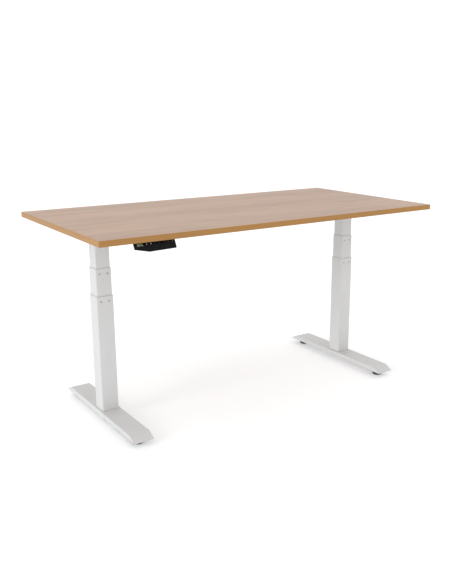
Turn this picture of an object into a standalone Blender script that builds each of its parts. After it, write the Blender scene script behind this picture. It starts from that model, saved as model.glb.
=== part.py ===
"""Electric height adjustable standing desk with two three-stage telescopic columns.

+X runs along the desk to the user's right, +Y to the back, +Z up. The origin is on the floor,
under the middle of the top. Everything is in metres, and stands at the rest height.
"""

import math

import bmesh
import bpy
from mathutils import Matrix, Vector

# ---- Fits -----------------------------------------------------------------------------------
GAP = 0.0003  # between pieces that touch, and around pieces that slide in each other
THREAD_GAP = 0.0005  # between the crests of one spindle and the bore of the next

# ---- Tabletop -------------------------------------------------------------------------------
TOP_LENGTH = 1.600
TOP_DEPTH = 0.800
TOP_THICKNESS = 0.022
BAND_THICKNESS = 0.002
DESK_HEIGHT = 0.820  # floor to work surface at rest

# ---- Columns --------------------------------------------------------------------------------
COLUMN_X = 0.634  # desk centre to column axis
UPPER_TUBE = 0.060  # outside width of the innermost of the three square tubes
TUBE_WALL = 0.0015
TUBE_RADIUS = 0.004
TUBE_SLIDE_ROOM = 0.001  # between one tube's outside and the next one's inside
UPPER_EXPOSED = 0.1027  # how far the upper tube stands out of the middle one at rest
MIDDLE_EXPOSED = 0.111  # how far the middle tube stands out of the lower one at rest
STAGE_REST_LIFT = 0.094  # how far each stage is extended at rest
STAGE_END_GAP = 0.005  # left between the stages' inner ends when the desk is fully down
BUSH_LENGTH = 0.060
BUSH_LIP = 0.0018
BASE_PLATE = 0.006

# ---- Spindles inside a column ---------------------------------------------------------------
FIXED_SPINDLE_RADIUS = 0.005
SPINDLE_WALL = 0.002
SPINDLE_FLANGE_RADIUS = 0.014
SPINDLE_FLANGE = 0.005
FIXED_SPINDLE_RISE = 0.005  # its upper end above the lower tube's mouth
HOLLOW_SPINDLE_DROP = 0.016  # its upper end below the middle tube's mouth
CARRIER_PLATE = 0.006
COLLAR_RADIUS = 0.011
COLLAR_HEIGHT = 0.005
JOURNAL_RADIUS = 0.006
JOURNAL_LENGTH = 0.018

# ---- Feet -----------------------------------------------------------------------------------
FOOT_LENGTH = 0.666
FOOT_FLAT = 0.590  # length of the level stretch between the two bends
FOOT_WIDTH = 0.084
FOOT_TOP = 0.045
FOOT_SKIRT_Z = 0.0235  # height of the skirt's lower edge
FOOT_NOSE = 0.0015  # blunt end of the sloped tip
FOOT_SHEET = 0.003
FOOT_EDGE_RADIUS = 0.003
LEVELLER_Y = 0.280  # foot centre to levelling foot
LEVELLER_RADIUS = 0.022
LEVELLER_HEIGHT = 0.018
LEVELLER_EDGE = 0.003
STUD_RADIUS = 0.004
STUD_ROOM = 0.0035  # above the stud, for the pad to be screwed in
NUT_RADIUS = 0.009
NUT_RISE = 0.0005  # its lower face above the skirt's edge

# ---- Under-frame ----------------------------------------------------------------------------
BRACKET_LENGTH = 0.580
BRACKET_WIDTH = 0.060
BRACKET_DEPTH = 0.0187
BRACKET_SHEET = 0.0025
BRACKET_TAPER = 0.090
HEAD_LENGTH = 0.086  # column head, along X
HEAD_HEIGHT = 0.040
HEAD_SHEET = 0.0025
HEAD_SIDE_ROOM = 0.002  # between the upper tube and each cheek of the head
TUBE_INTO_HEAD = 0.004
RAIL_WIDTH = 0.020
RAIL_HEIGHT = 0.0385
RAIL_WALL = 0.002
RAIL_RADIUS = 0.003
GEARBOX_HEIGHT = 0.032
GEARBOX_EDGE = 0.0015
MOTOR_RADIUS = 0.024
MOTOR_LENGTH = 0.098
MOTOR_CHAMFER = 0.002
MOTOR_NECK_INSET = 0.001  # the worm housing's surface below the gearbox's, at top and bottom
MOTOR_CAP_RADIUS = 0.010
MOTOR_CAP = 0.006

# ---- Control box ----------------------------------------------------------------------------
BOX_LENGTH = 0.260
BOX_DEPTH = 0.090
BOX_HEIGHT = 0.042
BOX_WALL = 0.002
BOX_TO_RAIL = 0.020
BASE_TAB = 0.018  # mounting tab past each end of the box
BASE_SHEET = 0.002
BOX_RADIUS = 0.004
BOARD_SHEET = 0.0016
BOARD_STANDOFF = 0.006
INLET_WIDTH = 0.030
INLET_HEIGHT = 0.024
INLET_DEPTH = 0.018
INLET_RECESS = 0.012
INLET_WALL = 0.003
INLET_FROM_END = 0.035
PORT_SPACING = 0.030

# ---- Leads ----------------------------------------------------------------------------------
MOTOR_LEAD_DIAMETER = 0.006
HANDSET_LEAD_DIAMETER = 0.004
LEAD_STEP = 3.0  # distance between points on a lead, in diameters

# ---- Handset --------------------------------------------------------------------------------
HANDSET_WIDTH = 0.161
HANDSET_FROM_END = 0.2118  # left end of the top to the middle of the handset
HANDSET_SETBACK = 0.018  # front edge of the top to the upper edge of the fascia
HANDSET_TILT = 27.5  # degrees that the fascia leans back, to face upwards
HANDSET_LEFT_DROP = 0.0245  # depth of the face at its left end,
HANDSET_LOW_DROP = 0.0374  # at its lowest point,
HANDSET_RIGHT_DROP = 0.0346  # and at its right end
HANDSET_LOW_SHARE = 0.34  # place of the lowest point, as a share of the width
HANDSET_DEPTH = 0.058
HANDSET_BACK_SHARE = 0.6  # depth of the shell at the back, as a share of the front
HANDSET_SIDE_DRAFT = 0.028  # how far each side of the shell draws in towards the back
HANDSET_WALL = 0.002
HANDSET_RADIUS = 0.003
FASCIA = 0.003
KEY_RADIUS = 0.0055
KEY_FLANGE_LIP = 0.0011
KEY_FLANGE = 0.0012
KEY_ROOM = 0.0009  # housing wall above to a key's flange
KEY_LENGTH = 0.0066
KEY_PROUD = 0.0004
KEY_EDGE = 0.0003
KEY_PITCH = 0.01667
KEYS_FROM_RIGHT = 0.0120  # right end of the handset to the last key
WINDOW_WIDTH = 0.027
WINDOW_HEIGHT = 0.011
WINDOW_TO_KEY = 0.0253  # centre of the window to the first key
WINDOW_THICKNESS = 0.002
HANDSET_BOARD_GAP = 0.002
KEY_NAMES = (
    "key_up",
    "key_down",
    "key_preset_1",
    "key_preset_2",
    "key_preset_3",
    "key_preset_4",
    "key_save",
)

# ---- Heights and widths that follow ---------------------------------------------------------
UNDERSIDE = DESK_HEIGHT - TOP_THICKNESS
BRACKET_BOTTOM = UNDERSIDE - GAP - BRACKET_DEPTH
HEAD_TOP = BRACKET_BOTTOM - GAP
HEAD_BOTTOM = HEAD_TOP - HEAD_HEIGHT
UPPER_TUBE_TOP = HEAD_BOTTOM + HEAD_SHEET + TUBE_INTO_HEAD
GEARBOX_BOTTOM = UPPER_TUBE_TOP + GAP
MIDDLE_TUBE_TOP = HEAD_BOTTOM - UPPER_EXPOSED
LOWER_TUBE_TOP = MIDDLE_TUBE_TOP - MIDDLE_EXPOSED
LOWER_TUBE_BOTTOM = FOOT_TOP + GAP
FIXED_SPINDLE_TOP = LOWER_TUBE_TOP + FIXED_SPINDLE_RISE
HOLLOW_SPINDLE_TOP = MIDDLE_TUBE_TOP - HOLLOW_SPINDLE_DROP
STUD_TOP = FOOT_TOP - FOOT_SHEET - STUD_ROOM
FIXED_FLANGE_TOP = LOWER_TUBE_BOTTOM + BASE_PLATE + GAP + SPINDLE_FLANGE
MIDDLE_TUBE_BOTTOM = FIXED_FLANGE_TOP + STAGE_END_GAP + STAGE_REST_LIFT
CARRIER_TOP = MIDDLE_TUBE_BOTTOM + CARRIER_PLATE
UPPER_TUBE_BOTTOM = CARRIER_TOP + STAGE_END_GAP + STAGE_REST_LIFT
COLLAR_TOP = CARRIER_TOP + GAP + COLLAR_HEIGHT
DRIVE_SPINDLE_BOTTOM = COLLAR_TOP + STAGE_END_GAP + STAGE_REST_LIFT
HOLLOW_BORE = FIXED_SPINDLE_RADIUS + THREAD_GAP
HOLLOW_RADIUS = HOLLOW_BORE + SPINDLE_WALL
DRIVE_BORE = HOLLOW_RADIUS + THREAD_GAP
DRIVE_RADIUS = DRIVE_BORE + SPINDLE_WALL
MIDDLE_TUBE = UPPER_TUBE + 2 * (TUBE_SLIDE_ROOM + TUBE_WALL)
LOWER_TUBE = MIDDLE_TUBE + 2 * (TUBE_SLIDE_ROOM + TUBE_WALL)
GEARBOX_SIZE = UPPER_TUBE + HEAD_SIDE_ROOM
HEAD_WIDTH = UPPER_TUBE + 2 * (HEAD_SIDE_ROOM + HEAD_SHEET)
RAIL_Y = HEAD_WIDTH / 2 + GAP + RAIL_WIDTH / 2
MOTOR_Z = GEARBOX_BOTTOM + GEARBOX_HEIGHT / 2
MOTOR_NECK_RADIUS = GEARBOX_HEIGHT / 2 - MOTOR_NECK_INSET
KEY_FLANGE_RADIUS = KEY_RADIUS + KEY_FLANGE_LIP
KEY_DROP = HANDSET_WALL + KEY_ROOM + KEY_FLANGE_RADIUS  # upper edge of the face to the keys' centres
HANDSET_CENTRE_X = HANDSET_FROM_END - TOP_LENGTH / 2

SIDES = (("left", -1), ("right", 1))
BEVEL_STEPS = 3  # segments across a rounded edge
CORNER_STEPS = 5  # in each rounded corner of a tube,
ROUND_STEPS = 24  # segments around a turned piece,
NUT_STEPS = 18  # a weld nut,
LEVELLER_STEPS = 20  # a levelling foot,
KEY_STEPS = 16  # and a key


# ---- Making objects -------------------------------------------------------------------------
def clear_scene():
    for obj in list(bpy.data.objects):
        bpy.data.objects.remove(obj, do_unlink=True)


def make_material(name, colour, roughness, metallic=0.0):
    material = bpy.data.materials.new(name)
    material.use_nodes = True
    shader = material.node_tree.nodes["Principled BSDF"]
    shader.inputs["Base Color"].default_value = (*colour, 1.0)
    shader.inputs["Roughness"].default_value = roughness
    shader.inputs["Metallic"].default_value = metallic
    return material


def make_materials():
    return {
        "laminate": make_material("laminate", (0.56, 0.42, 0.33), 0.45),
        "edge_band": make_material("edge_band", (0.46, 0.24, 0.06), 0.5),
        "white_steel": make_material("white_steel", (0.80, 0.80, 0.79), 0.45),
        "bare_steel": make_material("bare_steel", (0.55, 0.56, 0.58), 0.3, 1.0),
        "cast_metal": make_material("cast_metal", (0.45, 0.46, 0.47), 0.5, 0.9),
        "black_plastic": make_material("black_plastic", (0.02, 0.02, 0.022), 0.4),
        "gloss_black": make_material("gloss_black", (0.008, 0.008, 0.01), 0.12),
        "glide_plastic": make_material("glide_plastic", (0.55, 0.56, 0.56), 0.5),
        "circuit_green": make_material("circuit_green", (0.03, 0.20, 0.08), 0.5),
        "cable_black": make_material("cable_black", (0.015, 0.015, 0.015), 0.55),
        "rubber": make_material("rubber", (0.02, 0.02, 0.02), 0.8),
    }


def new_empty(name, location, parent=None):
    empty = bpy.data.objects.new(name, None)
    empty.location = location
    empty.parent = parent
    bpy.context.scene.collection.objects.link(empty)
    return empty


def new_object(name, data, material, parent, location=(0, 0, 0)):
    obj = bpy.data.objects.new(name, data)
    if material is not None:
        data.materials.append(material)
    obj.location = location
    obj.parent = parent
    bpy.context.scene.collection.objects.link(obj)
    return obj


def new_solid(name, mesh_builder, material, parent, location=(0, 0, 0), smooth=False):
    """Turn a bmesh into an object with outward faces; smooth rounds the shading of turned faces."""
    bmesh.ops.recalc_face_normals(mesh_builder, faces=mesh_builder.faces[:])
    if mesh_builder.calc_volume(signed=True) < 0:
        bmesh.ops.reverse_faces(mesh_builder, faces=mesh_builder.faces[:])
    mesh = bpy.data.meshes.new(name)
    mesh_builder.to_mesh(mesh)
    mesh_builder.free()
    if smooth:
        mesh.shade_smooth()
        mesh.set_sharp_from_angle(angle=math.radians(35))
    return new_object(name, mesh, material, parent, location)


def combine(obj, name, mesh_builder, operation):
    """Cut a solid from obj, or join it on, in obj's own coordinates."""
    tool = new_solid(name, mesh_builder, None, obj)
    tool.hide_render = True
    tool.display_type = "WIRE"
    modifier = obj.modifiers.new(name, "BOOLEAN")
    modifier.operation = operation
    modifier.object = tool


# ---- Shapes ---------------------------------------------------------------------------------
def box(low, high, bevel=0.0):
    """A box between two corners, its edges rounded by bevel."""
    shape = bmesh.new()
    bmesh.ops.create_cube(shape, size=1.0)
    low, high = Vector(low), Vector(high)
    bmesh.ops.scale(shape, vec=high - low, verts=shape.verts)
    bmesh.ops.translate(shape, vec=(low + high) / 2, verts=shape.verts)
    if bevel:
        bevel_edges(shape, shape.edges[:], bevel)
    return shape


def bevel_edges(shape, edges, size):
    bmesh.ops.bevel(shape, geom=edges, offset=size, segments=BEVEL_STEPS, profile=0.5, affect="EDGES")


def prism(outline, start, end, to_space):
    """An outline of 2-D points, extruded from start to end; to_space turns (u, v, w) into a place."""
    shape = bmesh.new()
    face = shape.faces.new([shape.verts.new(to_space(u, v, start)) for u, v in outline])
    grown = bmesh.ops.extrude_face_region(shape, geom=[face])
    corner = Vector(to_space(0, 0, 0))
    move = Vector(to_space(0, 0, end - start)) - corner
    moved = [item for item in grown["geom"] if isinstance(item, bmesh.types.BMVert)]
    bmesh.ops.translate(shape, vec=move, verts=moved)
    return shape


def along_x(u, v, w):
    return (w, u, v)


def along_y(u, v, w):
    return (u, w, v)


def along_z(u, v, w):
    return (u, v, w)


def lathe(profile, closed=False, steps=ROUND_STEPS):
    """Turn (radius, height) points about Z; a profile that isn't closed starts and ends on the axis."""
    shape = bmesh.new()
    verts = [shape.verts.new((radius, 0, height)) for radius, height in profile]
    pairs = list(zip(verts, verts[1:]))
    if closed:
        pairs.append((verts[-1], verts[0]))
    edges = [shape.edges.new(pair) for pair in pairs]
    bmesh.ops.spin(
        shape,
        geom=verts + edges,
        cent=(0, 0, 0),
        axis=(0, 0, 1),
        angle=math.tau,
        steps=steps,
        use_merge=True,
    )
    bmesh.ops.remove_doubles(shape, verts=shape.verts[:], dist=1e-6)
    return shape


def cylinder(radius, bottom, top, steps=ROUND_STEPS):
    return lathe([(0, bottom), (radius, bottom), (radius, top), (0, top)], steps=steps)


def rounded_rectangle(width, depth, radius, steps=CORNER_STEPS):
    """The outline of a rectangle about the origin, counter-clockwise, with round corners."""
    points = []
    for quarter, (sx, sy) in enumerate(((1, 1), (-1, 1), (-1, -1), (1, -1))):
        centre = Vector((sx * (width / 2 - radius), sy * (depth / 2 - radius)))
        for step in range(steps + 1):
            turn = math.radians(90) * (quarter + step / steps)
            points.append(centre + radius * Vector((math.cos(turn), math.sin(turn))))
    return points


def ring_solid(sections):
    """Join (outline, height) sections one after the other by quads, and the last to the first."""
    shape = bmesh.new()
    loops = [[shape.verts.new((x, y, height)) for x, y in outline] for outline, height in sections]
    for loop, following in zip(loops, loops[1:] + loops[:1]):
        for index in range(len(loop)):
            shape.faces.new((loop[index - 1], loop[index], following[index], following[index - 1]))
    return shape


def rectangular_tube(width, depth, wall, radius, bottom, top):
    outside = rounded_rectangle(width, depth, radius)
    inside = rounded_rectangle(width - 2 * wall, depth - 2 * wall, radius - wall)
    return ring_solid([(outside, bottom), (outside, top), (inside, top), (inside, bottom)])


def rounded_corners(corners, radius, steps=4):
    """An outline through the corners, each rounded by an arc of the radius."""
    points = []
    for index, corner in enumerate(corners):
        corner = Vector(corner)
        back = (Vector(corners[index - 1]) - corner).normalized()
        ahead = (Vector(corners[(index + 1) % len(corners)]) - corner).normalized()
        half_angle = back.angle(ahead) / 2
        centre = corner + (back + ahead).normalized() * radius / math.sin(half_angle)
        start = corner + back * radius / math.tan(half_angle) - centre
        end = corner + ahead * radius / math.tan(half_angle) - centre
        sweep = start.angle_signed(end)
        for step in range(steps + 1):
            turned = Matrix.Rotation(-sweep * step / steps, 2) @ start
            points.append(centre + turned)
    return points


def shrink(outline, distances):
    """Move each edge of a convex counter-clockwise outline inwards by its own distance."""
    lines = []
    for (start, end), distance in zip(zip(outline, outline[1:] + outline[:1]), distances):
        start, end = Vector(start), Vector(end)
        along = (end - start).normalized()
        lines.append((start + distance * Vector((-along.y, along.x)), along))
    corners = []
    for (point, along), (before, before_along) in zip(lines, lines[-1:] + lines[:-1]):
        cross = before_along.cross(along)
        share = (point - before).cross(along) / cross
        corners.append(before + share * before_along)
    return corners


def smooth_route(stops, spacing):
    """Points about spacing apart on a smooth curve through the stops."""
    stops = [Vector(stop) for stop in stops]
    before = 2 * stops[0] - stops[1]
    after = 2 * stops[-1] - stops[-2]
    points = [before, *stops, after]
    route = [stops[0]]
    for index in range(1, len(points) - 2):
        p0, p1, p2, p3 = points[index - 1 : index + 3]
        steps = max(1, round((p2 - p1).length / spacing))
        for step in range(1, steps + 1):
            t = step / steps
            route.append(
                0.5
                * (
                    2 * p1
                    + t * (p2 - p0)
                    + t**2 * (2 * p0 - 5 * p1 + 4 * p2 - p3)
                    + t**3 * (3 * p1 - p0 - 3 * p2 + p3)
                )
            )
    return route


def new_lead(name, stops, diameter, material, parent):
    """A cable of the diameter through the stops."""
    curve = bpy.data.curves.new(name, "CURVE")
    curve.dimensions = "3D"
    curve.bevel_depth = diameter / 2
    curve.bevel_resolution = 2
    curve.use_fill_caps = True
    route = smooth_route(stops, LEAD_STEP * diameter)
    spline = curve.splines.new("POLY")
    spline.points.add(len(route) - 1)
    for point, place in zip(spline.points, route):
        point.co = (*place, 1)
    return new_object(name, curve, material, parent)


# ---- Tabletop -------------------------------------------------------------------------------
def build_tabletop(materials, parent):
    """The laminated board and its four edge bands, with the parent on the board's underside."""
    length, depth = TOP_LENGTH / 2, TOP_DEPTH / 2
    inner_length = length - BAND_THICKNESS
    inner_depth = depth - BAND_THICKNESS
    new_solid(
        "tabletop_board",
        box(
            (-inner_length + GAP, -inner_depth + GAP, 0),
            (inner_length - GAP, inner_depth - GAP, TOP_THICKNESS),
        ),
        materials["laminate"],
        parent,
    )
    band_end = inner_depth - GAP
    bands = {
        "front_edge_band": ((-length, -depth, 0), (length, -inner_depth, TOP_THICKNESS)),
        "back_edge_band": ((-length, inner_depth, 0), (length, depth, TOP_THICKNESS)),
        "left_edge_band": ((-length, -band_end, 0), (-inner_length, band_end, TOP_THICKNESS)),
        "right_edge_band": ((inner_length, -band_end, 0), (length, band_end, TOP_THICKNESS)),
    }
    for name, (low, high) in bands.items():
        new_solid(name, box(low, high), materials["edge_band"], parent)


# ---- Under-frame ----------------------------------------------------------------------------
def build_rails(materials, parent):
    """Two rails that run the length of the frame, along both cheeks of each column head."""
    half = COLUMN_X + HEAD_LENGTH / 2
    for name, side in (("front_rail", -1), ("back_rail", 1)):
        rail = new_solid(
            name,
            rectangular_tube(RAIL_HEIGHT, RAIL_WIDTH, RAIL_WALL, RAIL_RADIUS, -half, half),
            materials["white_steel"],
            parent,
            (0, side * RAIL_Y, HEAD_TOP - RAIL_HEIGHT / 2 - UNDERSIDE),
            smooth=True,
        )
        rail.rotation_euler = (0, math.radians(90), 0)


def build_side_bracket(name, materials, parent):
    """A steel channel across the desk that the board is screwed to, tapered at both ends."""
    half = BRACKET_LENGTH / 2
    top = UNDERSIDE - GAP
    outline = [
        (-half + BRACKET_TAPER, BRACKET_BOTTOM),
        (half - BRACKET_TAPER, BRACKET_BOTTOM),
        (half, top - 2 * BRACKET_SHEET),
        (half, top),
        (-half, top),
        (-half, top - 2 * BRACKET_SHEET),
    ]
    bracket = new_solid(
        name,
        prism(outline, -BRACKET_WIDTH / 2, BRACKET_WIDTH / 2, along_x),
        materials["white_steel"],
        parent,
    )
    inner = BRACKET_WIDTH / 2 - BRACKET_SHEET
    combine(
        bracket,
        name + "_channel",
        box((-inner, -half - GAP, BRACKET_BOTTOM - GAP), (inner, half + GAP, top - BRACKET_SHEET)),
        "DIFFERENCE",
    )


def build_column_head(name, side, materials, parent):
    """The cradle between the rails that the upper tube stands in, open above and inboard."""
    half_length, half_width = HEAD_LENGTH / 2, HEAD_WIDTH / 2
    head = new_solid(
        name,
        box((-half_length, -half_width, HEAD_BOTTOM), (half_length, half_width, HEAD_TOP)),
        materials["white_steel"],
        parent,
    )
    wall, open_end = side * (half_length - HEAD_SHEET), -side * (half_length + GAP)
    inner_width = half_width - HEAD_SHEET
    combine(
        head,
        name + "_inside",
        box(
            (min(wall, open_end), -inner_width, HEAD_BOTTOM + HEAD_SHEET),
            (max(wall, open_end), inner_width, HEAD_TOP + GAP),
        ),
        "DIFFERENCE",
    )
    opening = UPPER_TUBE + 2 * GAP
    combine(
        head,
        name + "_opening",
        prism(
            rounded_rectangle(opening, opening, TUBE_RADIUS),
            HEAD_BOTTOM - GAP,
            HEAD_BOTTOM + HEAD_SHEET + GAP,
            along_z,
        ),
        "DIFFERENCE",
    )


def build_drive(name, side, materials, parent):
    """The gearbox on top of the upper tube, and the motor that lies inboard of it."""
    half = GEARBOX_SIZE / 2
    gearbox = new_solid(
        name + "_gearbox",
        box(
            (-half, -half, GEARBOX_BOTTOM),
            (half, half, GEARBOX_BOTTOM + GEARBOX_HEIGHT),
            bevel=GEARBOX_EDGE,
        ),
        materials["cast_metal"],
        parent,
    )
    bore_top = GEARBOX_BOTTOM + JOURNAL_LENGTH + GAP
    bore = cylinder(JOURNAL_RADIUS + GAP, GEARBOX_BOTTOM - GAP, bore_top)
    combine(gearbox, name + "_gearbox_bore", bore, "DIFFERENCE")
    neck = (HEAD_LENGTH - GEARBOX_SIZE) / 2
    end = neck + MOTOR_LENGTH
    rim, cap_end = MOTOR_RADIUS - MOTOR_CHAMFER, end + MOTOR_CAP
    motor = new_solid(
        name + "_motor",
        lathe([(0, 0), (MOTOR_NECK_RADIUS, 0), (MOTOR_NECK_RADIUS, neck), (rim, neck),
               (MOTOR_RADIUS, neck + MOTOR_CHAMFER), (MOTOR_RADIUS, end - MOTOR_CHAMFER),
               (rim, end), (MOTOR_CAP_RADIUS, end), (MOTOR_CAP_RADIUS, cap_end), (0, cap_end)]),
        materials["bare_steel"],
        parent,
        (-side * (half + GAP), 0, MOTOR_Z),
        smooth=True,
    )
    motor.rotation_euler = (0, -side * math.radians(90), 0)


# ---- Columns --------------------------------------------------------------------------------
def build_tube(name, width, bottom, top, materials, parent):
    new_solid(
        name,
        rectangular_tube(width, width, TUBE_WALL, TUBE_RADIUS, bottom, top),
        materials["white_steel"],
        parent,
        smooth=True,
    )


def build_bush(name, outer_tube, inner_tube, mouth, materials, parent):
    """The plastic sleeve in a tube's mouth that the next tube slides in, with a lip over the rim."""
    bore = inner_tube + 2 * GAP
    sleeve = outer_tube - 2 * (TUBE_WALL + GAP)
    inside = rounded_rectangle(bore, bore, TUBE_RADIUS)
    outside = rounded_rectangle(sleeve, sleeve, TUBE_RADIUS - TUBE_WALL)
    rim = rounded_rectangle(outer_tube, outer_tube, TUBE_RADIUS)
    new_solid(
        name,
        ring_solid([
            (inside, mouth - BUSH_LENGTH),
            (outside, mouth - BUSH_LENGTH),
            (outside, mouth + GAP),
            (rim, mouth + GAP),
            (rim, mouth + GAP + BUSH_LIP),
            (inside, mouth + GAP + BUSH_LIP),
        ]),
        materials["glide_plastic"],
        parent,
        smooth=True,
    )


def build_plate(name, width, bottom, top, materials, parent):
    """A square plate that closes a tube's lower end."""
    outline = rounded_rectangle(width, width, TUBE_RADIUS - TUBE_WALL)
    return new_solid(name, prism(outline, bottom, top, along_z), materials["bare_steel"], parent)


def build_base_stage(name, materials, parent):
    """What stands on the foot: lower tube, its bush, the base plate and the fixed spindle."""
    build_tube(name + "_lower_tube", LOWER_TUBE, LOWER_TUBE_BOTTOM, LOWER_TUBE_TOP, materials, parent)
    build_bush(name + "_lower_bush", LOWER_TUBE, MIDDLE_TUBE, LOWER_TUBE_TOP, materials, parent)
    plate_width = LOWER_TUBE - 2 * (TUBE_WALL + GAP)
    plate_top = LOWER_TUBE_BOTTOM + BASE_PLATE
    build_plate(name + "_base_plate", plate_width, LOWER_TUBE_BOTTOM, plate_top, materials, parent)
    foot = plate_top + GAP
    new_solid(
        name + "_fixed_spindle",
        lathe([(0, foot), (SPINDLE_FLANGE_RADIUS, foot), (SPINDLE_FLANGE_RADIUS, FIXED_FLANGE_TOP),
               (FIXED_SPINDLE_RADIUS, FIXED_FLANGE_TOP), (FIXED_SPINDLE_RADIUS, FIXED_SPINDLE_TOP),
               (0, FIXED_SPINDLE_TOP)]),
        materials["bare_steel"],
        parent,
        smooth=True,
    )


def build_middle_stage(name, materials, parent, spindle_parent):
    """The middle tube with its bush and end plate, and the hollow spindle that turns in the plate."""
    bottom = MIDDLE_TUBE_BOTTOM
    build_tube(name + "_middle_tube", MIDDLE_TUBE, bottom, MIDDLE_TUBE_TOP, materials, parent)
    build_bush(name + "_middle_bush", MIDDLE_TUBE, UPPER_TUBE, MIDDLE_TUBE_TOP, materials, parent)
    carrier_width = MIDDLE_TUBE - 2 * (TUBE_WALL + GAP)
    carrier_name = name + "_spindle_carrier"
    carrier = build_plate(carrier_name, carrier_width, bottom, CARRIER_TOP, materials, parent)
    bore = cylinder(HOLLOW_RADIUS + THREAD_GAP, bottom - GAP, CARRIER_TOP + GAP)
    combine(carrier, carrier_name + "_bore", bore, "DIFFERENCE")
    new_solid(
        name + "_hollow_spindle",
        lathe([(HOLLOW_BORE, bottom), (HOLLOW_RADIUS, bottom),
               (HOLLOW_RADIUS, CARRIER_TOP + GAP), (COLLAR_RADIUS, CARRIER_TOP + GAP),
               (COLLAR_RADIUS, COLLAR_TOP), (HOLLOW_RADIUS, COLLAR_TOP),
               (HOLLOW_RADIUS, HOLLOW_SPINDLE_TOP), (HOLLOW_BORE, HOLLOW_SPINDLE_TOP)], closed=True),
        materials["bare_steel"],
        spindle_parent,
        smooth=True,
    )


def build_upper_stage(name, materials, parent, spindle_parent):
    """The upper tube, and the drive spindle that hangs in it from the gearbox."""
    build_tube(name + "_upper_tube", UPPER_TUBE, UPPER_TUBE_BOTTOM, UPPER_TUBE_TOP, materials, parent)
    shoulder = GEARBOX_BOTTOM - GAP
    bore_end = shoulder - SPINDLE_FLANGE
    new_solid(
        name + "_drive_spindle",
        lathe([(DRIVE_BORE, DRIVE_SPINDLE_BOTTOM), (DRIVE_RADIUS, DRIVE_SPINDLE_BOTTOM),
               (DRIVE_RADIUS, shoulder), (JOURNAL_RADIUS, shoulder),
               (JOURNAL_RADIUS, GEARBOX_BOTTOM + JOURNAL_LENGTH), (0, GEARBOX_BOTTOM + JOURNAL_LENGTH),
               (0, bore_end), (DRIVE_BORE, bore_end)], closed=True),
        materials["bare_steel"],
        spindle_parent,
        smooth=True,
    )


# ---- Feet -----------------------------------------------------------------------------------
def build_foot(name, materials, parent):
    """A folded steel channel, open below, with sloped tips and a welded nut for each levelling foot."""
    half_length, half_flat, half_width = FOOT_LENGTH / 2, FOOT_FLAT / 2, FOOT_WIDTH / 2
    nose = FOOT_SKIRT_Z + FOOT_NOSE
    outline = [
        (-half_length, FOOT_SKIRT_Z),
        (half_length, FOOT_SKIRT_Z),
        (half_length, nose),
        (half_flat, FOOT_TOP),
        (-half_flat, FOOT_TOP),
        (-half_length, nose),
    ]
    shell = prism(outline, -half_width, half_width, along_x)
    upper = [edge for edge in shell.edges if is_upper_side_edge(edge, nose, half_width)]
    bevel_edges(shell, upper, FOOT_EDGE_RADIUS)
    foot = new_solid(name, shell, materials["white_steel"], parent, smooth=True)
    inside = shrink(outline, (-GAP, FOOT_SHEET, FOOT_SHEET, FOOT_SHEET, FOOT_SHEET, FOOT_SHEET))
    inner_width = half_width - FOOT_SHEET
    hollow = prism(inside[:2] + inside[3:5], -inner_width, inner_width, along_x)
    combine(foot, name + "_hollow", hollow, "DIFFERENCE")
    nut_bottom, nut_top = FOOT_SKIRT_Z + NUT_RISE, FOOT_TOP - FOOT_SHEET + GAP
    bore = STUD_RADIUS + GAP
    for end, side in (("front", -1), ("back", 1)):
        section = [(bore, nut_bottom), (NUT_RADIUS, nut_bottom), (NUT_RADIUS, nut_top), (bore, nut_top)]
        nut = lathe(section, closed=True, steps=NUT_STEPS)
        bmesh.ops.translate(nut, vec=(0, side * LEVELLER_Y, 0), verts=nut.verts)
        combine(foot, f"{name}_{end}_nut", nut, "UNION")


def is_upper_side_edge(edge, nose, half_width):
    """Whether an edge runs along one side of the foot's top or of a sloped tip."""
    ends = [vert.co for vert in edge.verts]
    same_side = abs(ends[0].x - ends[1].x) < GAP and abs(abs(ends[0].x) - half_width) < GAP
    return same_side and min(end.z for end in ends) > nose - GAP


def build_levelling_foot(name, materials, parent, place):
    """A round pad on a threaded stud, with its origin on the stud's axis at the floor."""
    edge = LEVELLER_EDGE
    new_solid(
        name,
        lathe([(0, 0), (LEVELLER_RADIUS - 2 * edge, 0), (LEVELLER_RADIUS - edge / 2, edge),
               (LEVELLER_RADIUS, LEVELLER_HEIGHT - edge), (LEVELLER_RADIUS - edge, LEVELLER_HEIGHT),
               (STUD_RADIUS, LEVELLER_HEIGHT), (STUD_RADIUS, STUD_TOP), (0, STUD_TOP)],
              steps=LEVELLER_STEPS),
        materials["rubber"],
        parent,
        place,
        smooth=True,
    )


# ---- Control box and leads ------------------------------------------------------------------
def box_places():
    """Where the control box stands under the board: its front, back and lower faces."""
    front = RAIL_Y + RAIL_WIDTH / 2 + BOX_TO_RAIL
    return front, front + BOX_DEPTH, -GAP - BASE_SHEET - GAP - BOX_HEIGHT


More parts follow.
